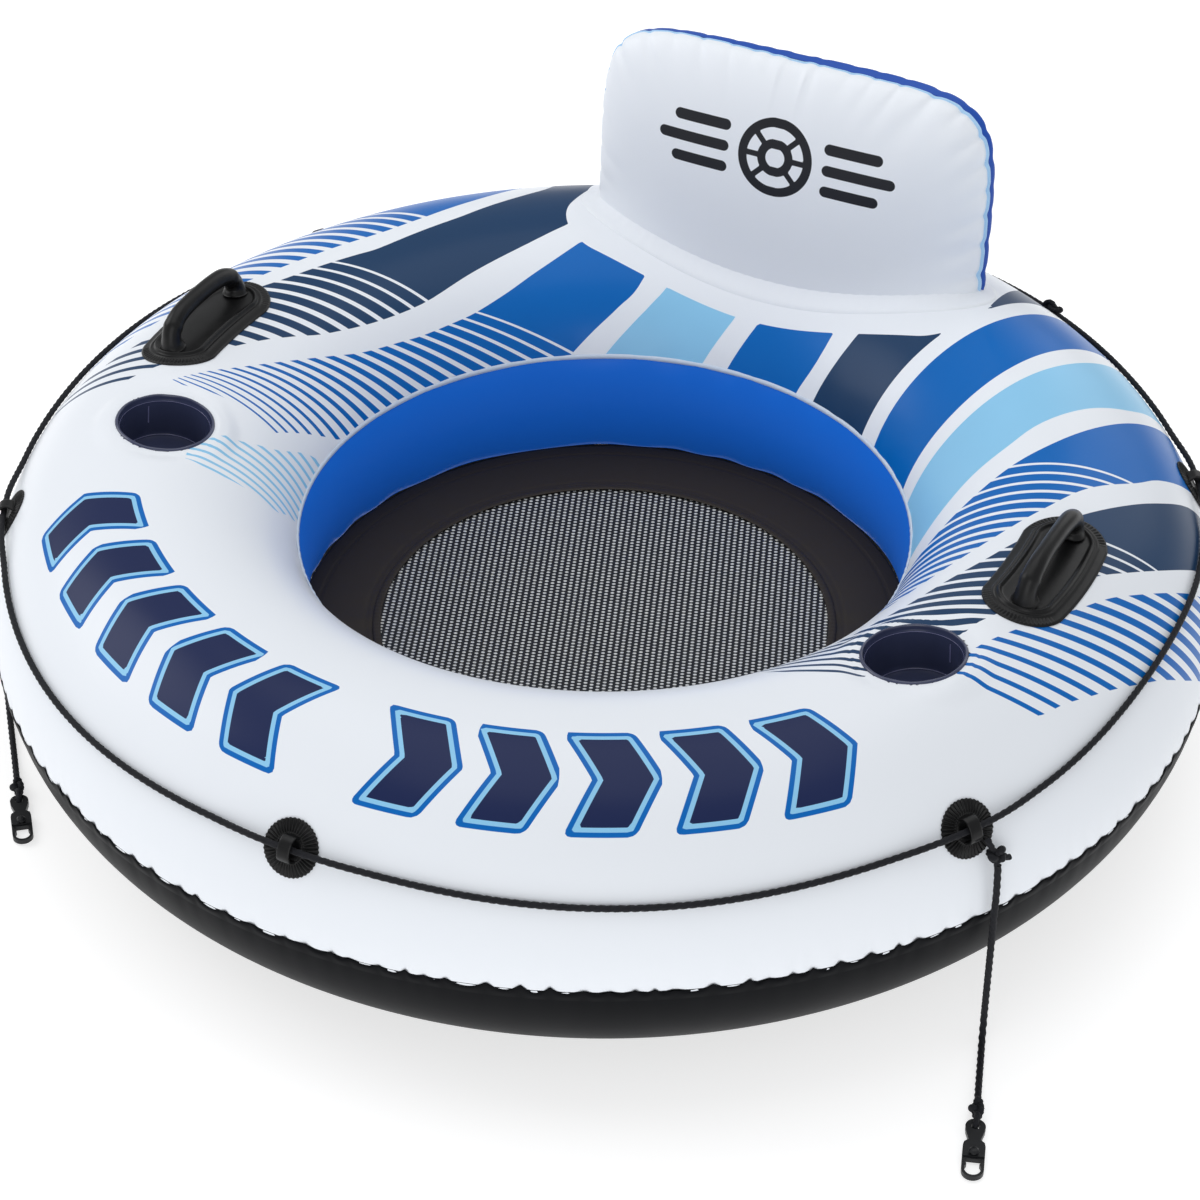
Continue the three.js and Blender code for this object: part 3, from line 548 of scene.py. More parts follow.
# %% The bands
BOTTOM, TOP = -5.0, 161.0    # a little past both seams, so that no ink ends short of them
BANDS = [
    dict(ink="royal", edges=[
        curve((97, TOP), (99, 152), (105, 134), (112, 113), (116, 97), (120, 79), (124, 57), (127.5, 30), (129, BOTTOM)),
        curve((120, BOTTOM), (119, 15), (117.5, 35), (114, 55), (111, 66), (107, 84), (102, 96.5), (97, 107),
              (88, 123), (81, 134), (76, 146), (73, TOP))],
        start=112, end=76, level=100, lean=(0.04, -0.14), step=2.1, white=(0.22, 0.62)),
    dict(ink="light", edges=[
        curve((123, TOP), (127, 132), (130, 111), (132.5, 91), (135, 66), (137.5, 41), (139, 15), (139.5, BOTTOM)),
        curve((130, BOTTOM), (129.5, 20), (128, 45), (126, 60), (124, 80), (121, 99), (117.5, 112), (114, 126),
              (110, 139), (106.5, 151), (105, TOP))]),
    dict(ink="royal", edges=[
        curve((142.6, TOP), (144.4, 114), (145.6, 82), (146.6, 55), (147.5, 20), (148, BOTTOM)),
        curve((141, BOTTOM), (140.5, 20), (139.4, 47), (137, 78), (134.4, 102), (131, 129), (127.5, TOP))]),
    dict(ink="navy", edges=[
        curve((162, TOP), (159.7, 130), (159, 90), (159.5, 50), (160, 20), (160.5, BOTTOM)),
        curve((152, BOTTOM), (151, 20), (150, 47), (148, 95), (147, TOP))]),
    dict(ink="royal", edges=[
        curve((182.5, TOP), (177, 130), (175, 100), (176, 60), (177, BOTTOM)),
        curve((165.5, BOTTOM), (165, 60), (164.5, 100), (164, 140), (166.4, TOP))]),
    dict(ink="light", edges=[
        curve((207.8, TOP), (196, 130), (192, 100), (192, 50), (193, BOTTOM)),
        curve((182, BOTTOM), (181, 50), (180.5, 100), (181.5, 130), (187.8, TOP))]),
    dict(ink="royal", edges=[
        [(268, TOP), (271, 158)],
        curve((284.4, 136), (284.4, 120), (284.4, 91)),
        curve((282, 98), (276, 112), (268, 124), (259, 133.5), (254, 137), (248, 139), (242.5, 140), (236, 139),
              (231, 137), (225, 132), (220, 126), (215, 119), (210, 110), (205, 98), (203, 80), (202, 40), (203, BOTTOM)),
        curve((197, BOTTOM), (196.5, 50), (197, 100), (201, 130), (205, 141), (210, 151), (215, TOP))],
        start=213, end=284, level=160, lean=(-0.8, 0.02), step=3.5, ease=0.7, white=(0.2, 0.74)),
    dict(ink="navy", edges=[
        curve((211.5, 101), (220, 112), (230, 121), (240, 128), (250, 128), (259, 123), (264, 117), (268.8, 110),
              (274, 102), (279, 91), (282, 82), (286, 71)),
        curve((286, 55), (285.5, 38)),
        curve((282.5, 44), (280, 54), (277.5, 62), (274, 70), (268, 80), (260, 88), (255, 92), (245, 96), (240, 96.5),
              (230, 91.5), (225, 87), (217.5, 77), (214, 66), (212.5, 40), (212, BOTTOM)),
        curve((206.5, BOTTOM), (207, 30), (208.5, 60))],
        start=247, end=287, level=100, lean=(-0.28, 0.0), step=2.7, white=(0.2, 0.72)),
    dict(ink="royal", edges=[
        curve((217.5, 62), (220, 69), (224, 76), (230, 82.5), (234.4, 85.6), (240, 87.5), (250, 85.6), (255, 83.5),
              (259.4, 80.6), (266, 72), (272, 60), (277, 46), (280, 32)),
        curve((276, 28), (266, 36), (256, 47), (246, 54), (236, 52), (228, 40), (223, 20), (222, BOTTOM)),
        curve((216, BOTTOM), (216, 30))],
        start=233, end=280, level=80, lean=(-0.2, -0.05), step=2.5, white=(0.3, 0.7)),
    dict(ink="light", edges=[
        curve((278, TOP), (281, 152), (287.5, 140), (291, 129), (294, 118), (298, 107)),
        curve((301, 106), (303, 120), (303.2, 144), (301, 151), (298, TOP))],
        start=277, end=304, level=150, lean=(-0.12, 0.09), step=2.3, white=(0.66, 0.66)),
    dict(ink="navy", edges=[
        curve((49, 129), (60, 131), (70.6, 128), (75.6, 124.4), (83, 118), (89.4, 108.8), (93.8, 101.9), (98, 92.5),
              (101.6, 83.8), (105.6, 71), (109.4, 57), (114, 37), (116, 15), (117, BOTTOM)),
        curve((110, BOTTOM), (107.5, 20), (105, 33), (103, 40), (98.8, 52.5), (95.3, 62.5), (92.2, 70.6), (86, 82),
              (79, 89), (73.8, 92.7), (67, 95.5), (60.6, 97), (58.7, 97.5), (54, 108))],
        start=97, end=57, level=100, lean=(-0.04, -0.37), step=2.35, white=(0.2, 0.66)),
    dict(ink="royal", edges=[
        curve((68.5, 84.5), (72.5, 84), (77.5, 80.6), (82, 75.5), (86.3, 69.4), (90, 63.8), (92.8, 57.5), (97.5, 45),
              (101.9, 31), (106, 12), (108, BOTTOM)),
        curve((99, BOTTOM), (96.5, 8), (91.9, 21.3), (88, 31.3), (82.5, 41.3), (79.4, 45.6), (75.6, 50), (71.5, 53.1),
              (69, 66), (67.5, 78))],
        start=103, end=66, level=50, lean=(-0.12, -0.19), step=1.95, white=(0.34, 0.76)),
]


def stripes(ring, section, band):
    """How many steps past the first stripe each point is. A line that meets the level at ring
    angle c passes through ring = c + lean(c) * (section - level), and lean changes evenly with c,
    so c comes from one division. The count then grows as a x + (1 - a) x |x|, with a the ease."""
    start, end, (lean0, lean1) = band["start"], band["end"], band["lean"]
    middle = (start + end) / 2
    around = (ring - middle + 180) % 360 - 180 + middle
    rise = section - band["level"]
    change = (lean1 - lean0) / (end - start)
    line = (around - (lean0 - change * start) * rise) / np.maximum(1 + change * rise, 0.2)
    share = (line - start) / (end - start)
    ease = band.get("ease", 1.0)
    eased = ease * share + (1 - ease) * share * np.abs(share)
    white0, white1 = band["white"]
    return eased * abs(end - start) / band["step"], white0 + (white1 - white0) * np.clip(share, 0, 1)


print("bands:", len(BANDS), "of which striped:", sum("step" in band for band in BANDS))

# %% [markdown]
# The front of the ring carries a row of ten rounded arrowheads, five to each side, in navy with a
# light-blue line and a royal outline. An arrowhead is the space between two bent lines, cut off
# level at the top and bottom. Its distance is the larger of the two distances, rounded at the
# corners as a box's is.

# %% The front motif
MOTIF_PITCH = 9.9            # degrees of ring angle from one arrowhead to the next
MOTIF_START = 8.6
MOTIF_SECTION = 70.0


def arrowheads(ring, section):
    """Signed distance in millimetres to the nearest arrowhead. In its own coordinates, x forward
    and y up, an arrowhead is |x + 0.5 |y| - 14| / 1.12 < 31 and |y| < 58."""
    around = (ring + 180) % 360 - 180
    index = np.clip(np.round((np.abs(around) - MOTIF_START) / MOTIF_PITCH), 0, 4)
    centre = (MOTIF_START + index * MOTIF_PITCH) * np.where(around < 0, -1, 1)
    radius = (RING_RADIUS + TUBE_HALF_WIDTH * np.cos(np.radians(section))) / MM
    x = np.radians(np.abs(around) - np.abs(centre)) * radius
    y = np.radians(section - MOTIF_SECTION) * 171
    corner = 7.0
    across = np.abs(x + 0.5 * np.abs(y) - 14) / 1.12 - 31 + corner
    height = np.abs(y) - 58 + corner
    outside = np.hypot(np.maximum(across, 0), np.maximum(height, 0))
    return outside + np.minimum(np.maximum(across, height), 0) - corner


def backrest_zone(points):
    """Signed distance in millimetres to the unprinted zone round the backrest's foot, seen from
    above: a rounded box."""
    corner = 0.06
    x = np.abs(points[..., 0]) - 0.268 + corner
    y = np.abs(points[..., 1] - 0.478) - 0.108 + corner
    outside = np.hypot(np.maximum(x, 0), np.maximum(y, 0))
    return (outside + np.minimum(np.maximum(x, y), 0) - corner) / MM


# %% [markdown]
# ## The top panel
#
# The white panel is a grid in the two angles. It isn't a perfect torus: the weld along the outside
# draws the sheet in, so short tucks run up from it, and the sheet lies flat around the cup holders'
# rims. Both are small moves along the normal, worked out for all the points at once. The tucks are
# placed by a seeded random generator, so they are uneven, as real ones are, yet the same each time.

# %% Tucks along a weld
chance = np.random.default_rng(20)


def tuck_places(length, low, high):
    """Places of tucks along a seam, with gaps drawn between low and high and scaled to fit."""
    gaps = chance.uniform(low, high, int(length / ((low + high) / 2)))
    return np.cumsum(gaps) * length / gaps.sum()


def gathered(position, places, widths, length):
    """How deep the seam is tucked at each position, from 0 to 1: the sum of one bump per tuck."""
    offset = (position[:, None] - places[None] + length / 2) % length - length / 2
    return np.clip(np.exp(-((offset / widths[None]) ** 2)).sum(1), 0, 1)


OUTER_LENGTH = 2 * np.pi * (RING_RADIUS + TUBE_HALF_WIDTH)
outer_tucks = tuck_places(OUTER_LENGTH, 0.017, 0.040)
outer_sizes = chance.uniform(0.0030, 0.0070, len(outer_tucks))
outer_peaks = chance.uniform(0.25, 1.0, len(outer_tucks))
print("tucks along the outer weld:", len(outer_tucks))


def outer_gather(ring):
    """The outer weld's tucks at ring angles in degrees."""
    return gathered(np.radians(ring % 360) * OUTER_LENGTH / (2 * np.pi), outer_tucks, outer_sizes, OUTER_LENGTH)


# %% Top panel
CUP_ANGLE, CUP_SECTION = 67.0, 96.4
CUP_PLACES = {side: tube_frame(sign * CUP_ANGLE, CUP_SECTION, -3.5 * MM) for side, sign in (("left", -1), ("right", 1))}
VALVE_PLACE = tube_frame(163.0, 50.0)

ring_angles = np.linspace(0, 360, 720, endpoint=False)
section_angles = np.linspace(OUTER_SEAM - 2.2, INNER_SEAM, 138)
ring, section = np.meshgrid(ring_angles, section_angles, indexing="ij")

near_weld = np.exp(-(section - OUTER_SEAM) / 6.5)
lift = -2.4 * MM * outer_gather(ring_angles)[:, None] * near_weld
lift += 0.5 * MM * np.sin(np.radians(ring) * 37 + 2 * np.sin(np.radians(ring) * 5)) * np.exp(-(INNER_SEAM - section) / 6)
points = on_tube(ring, section, lift)

hole_at = np.full(ring.shape, 1.0)
for place in CUP_PLACES.values():
    local = to_frame(points, place)
    reach = np.hypot(local[..., 0], local[..., 1])
    flat = (1 - step_between(reach, 0.056, 0.084)) * (local[..., 2] > -0.08)
    level = -1.6 * MM + 0.9 * MM * ridge(reach, 0.0605, 0.0016) - 0.7 * MM * ridge(reach, 0.064, 0.0016)
    points = points + (flat * (level - local[..., 2]))[..., None] * place[1][2]
    hole_at = np.minimum(hole_at, np.where(local[..., 2] > -0.08, reach - 0.0505, 1.0))
local = to_frame(points, VALVE_PLACE)
hole_at = np.minimum(hole_at, np.hypot(local[..., 0], local[..., 1]) + np.abs(local[..., 2]) - 0.014)

inks = {ink: np.full(ring.shape, 60.0) for ink in ("navy", "royal", "light")}
count, white, nearest = (np.full(ring.shape, v) for v in (-9.0, 0.0, 60.0))
for band in BANDS:
    distance = outline_distance(ring, section, np.vstack([np.asarray(edge, float) for edge in band["edges"]]))
    inks[band["ink"]] = np.minimum(inks[band["ink"]], distance)
    closer = distance < nearest
    nearest = np.where(closer, distance, nearest)
    if "step" in band:
        steps, share = stripes(ring, section, band)
        count, white = np.where(closer, steps, count), np.where(closer, share, white)
    else:
        count, white = np.where(closer, -9.0, count), np.where(closer, 0.0, white)
unprinted = backrest_zone(points)
inks = {ink: np.maximum(distance, -unprinted) for ink, distance in inks.items()}

faces = grid_faces(720, 138, wrap_rows=True)
faces = faces[(hole_at.ravel()[faces] > 0).all(1)]
numbers = dict(inks, stripe=count, white=white, motif=arrowheads(ring, section))
top_panel = make_mesh("top_panel_skin", points, faces, values=numbers)
print("top panel:", len(faces), "faces, inked share", round(float((nearest < 0).mean()), 2))

# %% [markdown]
# The print's shader reads those numbers. `edge` turns a distance into a mask that is 1 inside and
# fades over a third of a millimetre, as ink does on vinyl. The stripes are the points whose count
# is near a whole number.

# %% Printed vinyl
def printed_colour(finish):
    """White sheet with the three inks laid over it."""

    def edge(distance, width=0.35):
        return (0.5 - distance / width).clamped()

    steps, share = finish.number("stripe"), finish.number("white")
    off_line = (steps + 0.5).math("FRACT") - 0.5
    blank = ((share * 0.5 - off_line.math("ABSOLUTE")) / 0.02 + 0.5).clamped()
    blank = blank * steps.math("GREATER_THAN", -0.45)
    colour = finish.tinted(WHITE, 2.0, 0.025)
    for ink, shade in (("light", LIGHT), ("royal", ROYAL), ("navy", NAVY)):
        mask = edge(finish.number(ink)) * (1 - blank)
        colour = finish.mix(mask, colour, finish.tinted(shade, 6.0, 0.08))
    motif = finish.number("motif")
    for depth, shade in ((0.0, ROYAL), (5.0, LIGHT), (9.6, MOTIF_NAVY)):
        colour = finish.mix(edge(motif + depth), colour, finish.tinted(shade, 6.0, 0.08))
    return colour


printed_white = vinyl("printed_white_vinyl", WHITE, 0.32, colour_node=printed_colour)
dress(top_panel, "white_vinyl", printed_white, "top_panel")
print("printed vinyl ready")

# %% [markdown]
# ## Inner wall and underside
#
# Two more sheets close the tube: the blue wall round the seat and the black underside, which is
# flat where it rests on the ground. They use the same formula with other section angles. The black
# sheet's upper edge is the visible one: at the weld it stands in small scallops over the white.

# %% Inner wall and underside
ring, section = np.meshgrid(ring_angles, np.linspace(INNER_SEAM, FLOOR_SEAM, 36), indexing="ij")
lift = 0.9 * MM * np.sin(np.radians(ring) * 23 + 3 * np.sin(np.radians(ring) * 4)) * (
    np.exp(-(section - INNER_SEAM) / 5) + np.exp(-(FLOOR_SEAM - section) / 7))
inner_wall = make_mesh("inner_wall_skin", on_tube(ring, section, lift), grid_faces(720, 36, wrap_rows=True))
dress(inner_wall, "blue_vinyl", wall_blue, "inner_wall_panel")

ring, section = np.meshgrid(ring_angles, np.linspace(FLOOR_SEAM, 360 + OUTER_SEAM, 90), indexing="ij")
near_weld = np.exp(-(360 + OUTER_SEAM - section) / 6.0)
lift = -1.6 * MM * outer_gather(ring_angles)[:, None] * near_weld
underside = make_mesh("underside_skin", on_tube(ring, section, lift), grid_faces(720, 90, wrap_rows=True))
dress(underside, "black_vinyl", underside_black, "bottom_panel")
print("inner wall and underside made")

# %% [markdown]
# ## The welds
#
# Vinyl sheets are joined by pressing a hot electrode on their overlapped edges, which leaves a flat
# lip a few millimetres wide. Air pressure draws the sheets in on both sides of it, so the lip is too
# long for its new place and gathers. The outer lip is a narrow strip. Between two tucks its upper
# edge sags as half a sine does, which leaves a small cusp at each tuck.

# %% Weld strips
fine_ring = np.linspace(0, 360, 2400, endpoint=False)
tucked = outer_gather(fine_ring)
tuck_number = np.interp(np.radians(fine_ring) * OUTER_LENGTH / (2 * np.pi), outer_tucks, np.arange(len(outer_tucks)))
cusp = 1 - np.sin(np.pi * (tuck_number % 1))
peak = np.interp(tuck_number, np.arange(len(outer_tucks)), outer_peaks)
across = np.linspace(0, 1, 9)[None]
upper = (OUTER_SEAM - 0.9 + 2.9 * cusp * peak + 0.2 * np.sin(np.radians(fine_ring) * 61))[:, None]
section = (OUTER_SEAM - 4.2) + (upper - OUTER_SEAM + 4.2) * across
profile = 0.35 + 0.75 * np.sin(np.pi * np.clip(across, 0, 1) ** 1.7) ** 0.7
lift = MM * (profile * (1 - 0.5 * tucked[:, None]) - 0.5 * (across == 1))
outer_weld = make_mesh("outer_weld_strip", on_tube(fine_ring[:, None], section, lift), grid_faces(2400, 9, wrap_rows=True))
dress(outer_weld, "black_vinyl", underside_black, "outer_weld_seam")


def weld_bead(name, middle, half_angle, height, ripple, slot, material, node):
    """A low bead that follows the tube at one section angle: its lift is a half sine across it."""
    turn = np.linspace(0, 360, 1200, endpoint=False)[:, None]
    across = np.linspace(-1, 1, 7)[None]
    wave = 1 + ripple * np.sin(np.radians(turn) * 173) * np.sin(np.radians(turn) * 29)
    lift = height * np.cos(across * np.pi / 2) ** 0.6 * wave
    points = on_tube(turn, middle + across * half_angle, lift)
    return dress(make_mesh(name, points, grid_faces(1200, 7, wrap_rows=True)), slot, material, node)


weld_bead("inner_weld_strip", INNER_SEAM, 1.0, 1.5 * MM, 0.2, "white_vinyl", seam_white, "inner_weld_seam")
weld_bead("floor_weld_strip", FLOOR_SEAM + 2.2, 1.5, 2.2 * MM, 0.3, "black_vinyl", underside_black, "floor_weld_seam")
print("welds made")

# %% [markdown]
# ## The seat's floor
#
# The floor is a black vinyl border with a disc of open mesh welded into it, so that water drains.
# The border is a flat ring that dips to the mesh. It carries two pressed lines where it was welded
# and faint radial tucks, and the solid shows how high it lies.

# %% Floor border and hem
border_low, border_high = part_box("floor_border")
MESH_RADIUS = 0.2555
BORDER_RADIUS = border_high.x
border_top = border_high.z
BORDER_DROP = 1.5 * MM

reach = np.linspace(MESH_RADIUS, BORDER_RADIUS, 40)[None]
turn = np.linspace(0, 2 * np.pi, 480, endpoint=False)[:, None]
share = (reach - MESH_RADIUS) / (BORDER_RADIUS - MESH_RADIUS)
tucks = np.sin(turn * 31 + 2.2 * np.sin(turn * 7)) * np.sin(turn * 11 + 1.0)
height = border_top - BORDER_DROP * (1 - share) + 0.9 * MM * tucks * (1 - share) ** 2
height = height - 0.8 * MM * (ridge(reach, 0.27, 0.0012) + ridge(reach, 0.326, 0.0012))
border_points = np.stack([reach * np.sin(turn), -reach * np.cos(turn), height], -1)
border_under = border_points - [0, 0, 1.6 * MM]
faces_top = grid_faces(480, 40, wrap_rows=True)[:, ::-1]
faces_under = grid_faces(480, 40, wrap_rows=True, start=480 * 40)
rim = np.arange(480) * 40
after = np.roll(rim, -1)
inner_edge = np.stack([rim, after, after + 480 * 40, rim + 480 * 40], -1)
outer_edge = np.stack([rim + 39, rim + 39 + 480 * 40, after + 39 + 480 * 40, after + 39], -1)
border = make_mesh("floor_border_sheet", np.concatenate([border_points, border_under]).reshape(-1, 3),
                   faces_top, faces_under, inner_edge, outer_edge)

floor_black = vinyl("floor_vinyl", linear(56, 50, 43), 0.42, 0.03, 0.1, shine=0.12)
dress(border, "black_vinyl", floor_black, "floor_border")

hem_turn = np.linspace(0, 2 * np.pi, 960, endpoint=False)
hem_path = np.stack([0.2565 * np.sin(hem_turn), -0.2565 * np.cos(hem_turn), np.full(960, border_top - 0.1 * MM)], -1)
around = np.linspace(0, 2 * np.pi, 12, endpoint=False)[None]
ribs = 1 + 0.12 * np.cos(hem_turn * 240)[:, None]
hem = sweep("floor_mesh_hem_strip", hem_path, np.array([0, 0, 1.0]), 4.6 * MM * np.cos(around),
            1.1 * MM * np.sin(around) * ribs, closed=True)
dress(hem, "black_vinyl", floor_black, "floor_mesh_hem")
print("floor border to", round(float(BORDER_RADIUS), 4), "m")

# %% [markdown]
# ## The mesh
#
# The mesh is a woven net of flat plastic yarn in a soft sag. Thousands of separate yarns would be a
# heavy mesh, so the sheet is one disc, and its weave is in its shape and its finish. Two sines give
# the height of crossing yarns, and the same two, drawn in the shader, leave a painted pale spot in each cell:
# painted light for the lit ground and highlights seen through the net, since the sheet has no holes.

# %% Mesh sheet
MESH_SAG = 7 * MM
YARN_PITCH = 7.0 * MM
ROW_PITCH = 5.6 * MM

columns = np.linspace(-1, 1, 300)
u, v = np.meshgrid(columns, columns, indexing="ij")
x = MESH_RADIUS * u * np.sqrt(1 - v * v / 2)
y = MESH_RADIUS * v * np.sqrt(1 - u * u / 2)
share = np.hypot(x, y) / MESH_RADIUS
height = border_top - BORDER_DROP - 0.3 * MM - MESH_SAG * (1 - share**2)
height = height + 0.12 * MM * np.sin(2 * np.pi * x / YARN_PITCH) * np.sin(2 * np.pi * y / ROW_PITCH)
mesh_sheet = make_mesh("floor_mesh_sheet", np.stack([x, y, height], -1), grid_faces(300, 300))
net = Finish("mesh_fabric", Specular_IOR_Level=0.35)
spot = net.node("SeparateXYZ", inputs={0: net.place()})
spot_x, spot_y = spot, Shade(spot.tree, spot.socket.node.outputs["Y"])
WEAVE_TURN = np.radians(22)
parts = spot_x * float(np.cos(WEAVE_TURN)) + spot_y * float(np.sin(WEAVE_TURN))
place_y = spot_y * float(np.cos(WEAVE_TURN)) - spot_x * float(np.sin(WEAVE_TURN))


def waves(finish, along, pitch, offset=0.0):
    """A wave from 0 to 1 with that pitch: half of 1 plus the sine of 2 pi times along / pitch."""
    turn = along * (2 * np.pi / pitch) + offset
    return turn.math("SINE") * 0.5 + 0.5


column = (parts / YARN_PITCH)
across_cell = (column.math("FRACT") - 0.5) * 2
down_cell = ((place_y / ROW_PITCH + column.math("FLOOR") * 0.5).math("FRACT") - 0.5) * 2
gap = 1 - (across_cell * across_cell / 0.46 + down_cell * down_cell / 0.42)
gap_mask = (gap * 2.4).clamped()
# The pale spots are painted light: the lit ground and the highlights seen through the net are painted into the sheet's
# colour.
painted_gap_light = net.noise(60.0, 2.0) * 0.4 + 0.6
yarn = net.tinted(linear(22, 23, 25), 40.0, 0.3)
net.set("Base Color", net.mix(gap_mask * painted_gap_light, yarn, linear(236, 236, 230)))
net.set("Roughness", 0.75 - 0.3 * waves(net, parts, YARN_PITCH / 4))
strands = waves(net, parts, YARN_PITCH / 4) * 0.3 + (1 - gap_mask) * 0.7
net.set("Normal", net.bump(strands, 0.0006, 0.7))
dress(mesh_sheet, "mesh_fabric", net.material, "floor_mesh")
print("mesh sheet is a disc", round(2 * MESH_RADIUS, 3), "m across")

# %% [markdown]
# ## The backrest
#
# The backrest is a pillow of two sheets, white in front and blue behind, welded along one curved
# seam and glued to the ring at its foot. Its outline is a superellipse, a rectangle with generous
# corners. Each face swells from the seam by the square root of one minus the cube of the distance
# from the middle, which is round at the edge and nearly flat in the middle. Air pressure gathers
# the seam into deep tucks, so the outline is drawn in at each tuck and a crease runs from it into
# the face. The tucks are deepest on one side, where the seam took up most of the slack. The blue face swells past the seam and shows above it.

# %% Backrest shape
BACKREST_HALF_WIDTH = 0.245
BACKREST_HEIGHT = 0.246
BACKREST_HALF_DEPTH = 0.052
BACKREST_POWER = 6.5
LEAN = np.radians(4)
backrest_place = (np.array([0, 0.462, 0.325]), np.array([
    [1, 0, 0], [0, np.sin(LEAN), np.cos(LEAN)], [0, -np.cos(LEAN), np.sin(LEAN)]]))
FOOT = -0.03                 # the pillow goes on this far below its base line, inside the ring


def backrest_outline(angle, growth=0.0):
    """The seam: x = a |cos|^(2/n) and y = b |sin|^(2/n), with their signs, for power n."""
    power = 2 / BACKREST_POWER
    c, s = np.cos(angle), np.sin(angle)
    return ((BACKREST_HALF_WIDTH + growth) * np.sign(c) * np.abs(c) ** power,
            (BACKREST_HEIGHT + growth) * np.sign(s) * np.abs(s) ** power)


dense = np.radians(np.linspace(-9, 189, 6000))
dense_path = np.stack([*backrest_outline(dense), np.zeros(6000)], -1)
dense_length = lengths_along(dense_path)
SEAM_LENGTH = float(dense_length[-1])
SEAM_POINTS = 560
seam_far = np.linspace(0, SEAM_LENGTH, SEAM_POINTS)
seam_angle = np.interp(seam_far, dense_length, dense)
seam_x, seam_y = backrest_outline(seam_angle)

seam_tucks = tuck_places(SEAM_LENGTH, 0.022, 0.044)
tuck_width = chance.uniform(0.0035, 0.006, len(seam_tucks))
tuck_depth = chance.uniform(0.55, 1.0, len(seam_tucks))
tuck_depth *= np.interp(seam_tucks / SEAM_LENGTH, (0.3, 0.42, 0.6, 0.68, 0.78), (1, 0.6, 0.45, 0.85, 0.45))
tuck_reach = chance.uniform(0.012, 0.034, len(seam_tucks))
print("backrest seam:", round(SEAM_LENGTH, 3), "m with", len(seam_tucks), "tucks")


def pillow_face(facing, rows=120):
    """One face of the pillow as a grid of seam position by share from the middle to the seam.
    Each tuck draws the seam in and presses a crease that fades away from the seam over its
    reach: depth * exp(-(offset / width)^2) * exp(-distance / reach)."""
    share = (1 - (1 - np.linspace(0.0, 1, rows)) ** 1.35)[None]
    ray = np.stack([seam_x, np.maximum(seam_y, FOOT) - FOOT], -1)
    ray_size = np.maximum(np.linalg.norm(ray, axis=1), 1e-6)[:, None]
    from_seam = (1 - share) * ray_size
    offset = seam_far[:, None] - seam_tucks[None]
    crease = np.zeros((SEAM_POINTS, rows))
    for k in range(len(seam_tucks)):
        spread = tuck_width[k] * (1 + from_seam / 0.02)
        crease += tuck_depth[k] * np.exp(-((offset[:, k:k + 1] / spread) ** 2)) * np.exp(-from_seam / tuck_reach[k])
    crease = np.clip(crease, 0, 1.1)
    gauge = (np.abs(ray[:, :1] * share / BACKREST_HALF_WIDTH) ** BACKREST_POWER
             + np.abs((ray[:, 1:] * share + FOOT) / BACKREST_HEIGHT) ** BACKREST_POWER) ** (1 / BACKREST_POWER)
    swell = np.sqrt(np.clip(1 - gauge**3, 0, 1))
    depth = 0.6 * MM + BACKREST_HALF_DEPTH * swell * (1 - 0.35 * crease) + 1.5 * MM * swell * (1 - crease)
    if facing < 0:
        crease = 0.3 * crease
    draw_in = 4.5 * MM * crease * np.exp(-from_seam / 0.012)
    rear_bulge = 4 + 9 * step_between(seam_x, -0.24, 0.12)[:, None]
    bulge = (1.5 if facing > 0 else rear_bulge) * MM * np.exp(-from_seam / 0.022) * (1 - np.exp(-from_seam / 0.003))
    scale = share + (bulge - draw_in) / ray_size
    x = ray[:, :1] * scale
    y = np.maximum(ray[:, 1:] * scale + FOOT, FOOT)
    return np.stack([x, y, facing * depth], -1), share, from_seam


def emblem(x, y):
    """Signed distance in millimetres to a plain nautical emblem: a ring with a smaller ring in it,
    flanked by three level bars on each side that get shorter downwards."""
    x, y = x / MM, (y - 0.142) / MM
    far = np.hypot(x, y)
    rings = np.minimum(np.abs(far - 41) - 5.4, np.abs(far - 17) - 5.2)
    spokes = np.full(x.shape, 90.0)
    for turn in range(4):
        angle = np.pi * turn / 4
        across = np.abs(x * np.cos(angle) + y * np.sin(angle))
        spokes = np.minimum(spokes, np.maximum(across - 3.4, np.maximum(far - 41, 17 - far)))
    bars = np.full(x.shape, 90.0)
    for height, half_length in ((25, 36), (0, 45), (-25, 36)):
        dx, dy = np.abs(np.abs(x) - 59 - half_length) - half_length + 6.5, np.abs(y - height)
        bars = np.minimum(bars, np.hypot(np.maximum(dx, 0), dy) - 6.5)
    return np.minimum(np.minimum(rings, spokes), bars)


front_local, front_share, _ = pillow_face(1, 170)
front = make_mesh("backrest_front_skin", in_frame(front_local.reshape(-1, 3), backrest_place),
                  grid_faces(SEAM_POINTS, 170)[:, ::-1],
                  values={"emblem": emblem(front_local[..., 0], front_local[..., 1])})


def emblem_colour(finish):
    """White sheet with the emblem's black ink."""
    mask = (0.5 - finish.number("emblem") / 0.5).clamped()
    return finish.mix(mask, finish.tinted(WHITE, 3.0, 0.02), finish.tinted(linear(40, 41, 46), 12.0, 0.15))


dress(front, "white_vinyl", vinyl("backrest_front_vinyl", WHITE, 0.33, colour_node=emblem_colour), "backrest_front_panel")

rear_local, _, _ = pillow_face(-1, 110)
rear = make_mesh("backrest_rear_skin", in_frame(rear_local.reshape(-1, 3), backrest_place), grid_faces(SEAM_POINTS, 110))
dress(rear, "rear_blue_vinyl", rear_blue, "backrest_rear_panel")
print("backrest faces made")

# %% [markdown]
# The weld's lip is a thin strip outside the seam. It follows the tucks, and since it is too long
# for its place it waves a little to the front and the back.

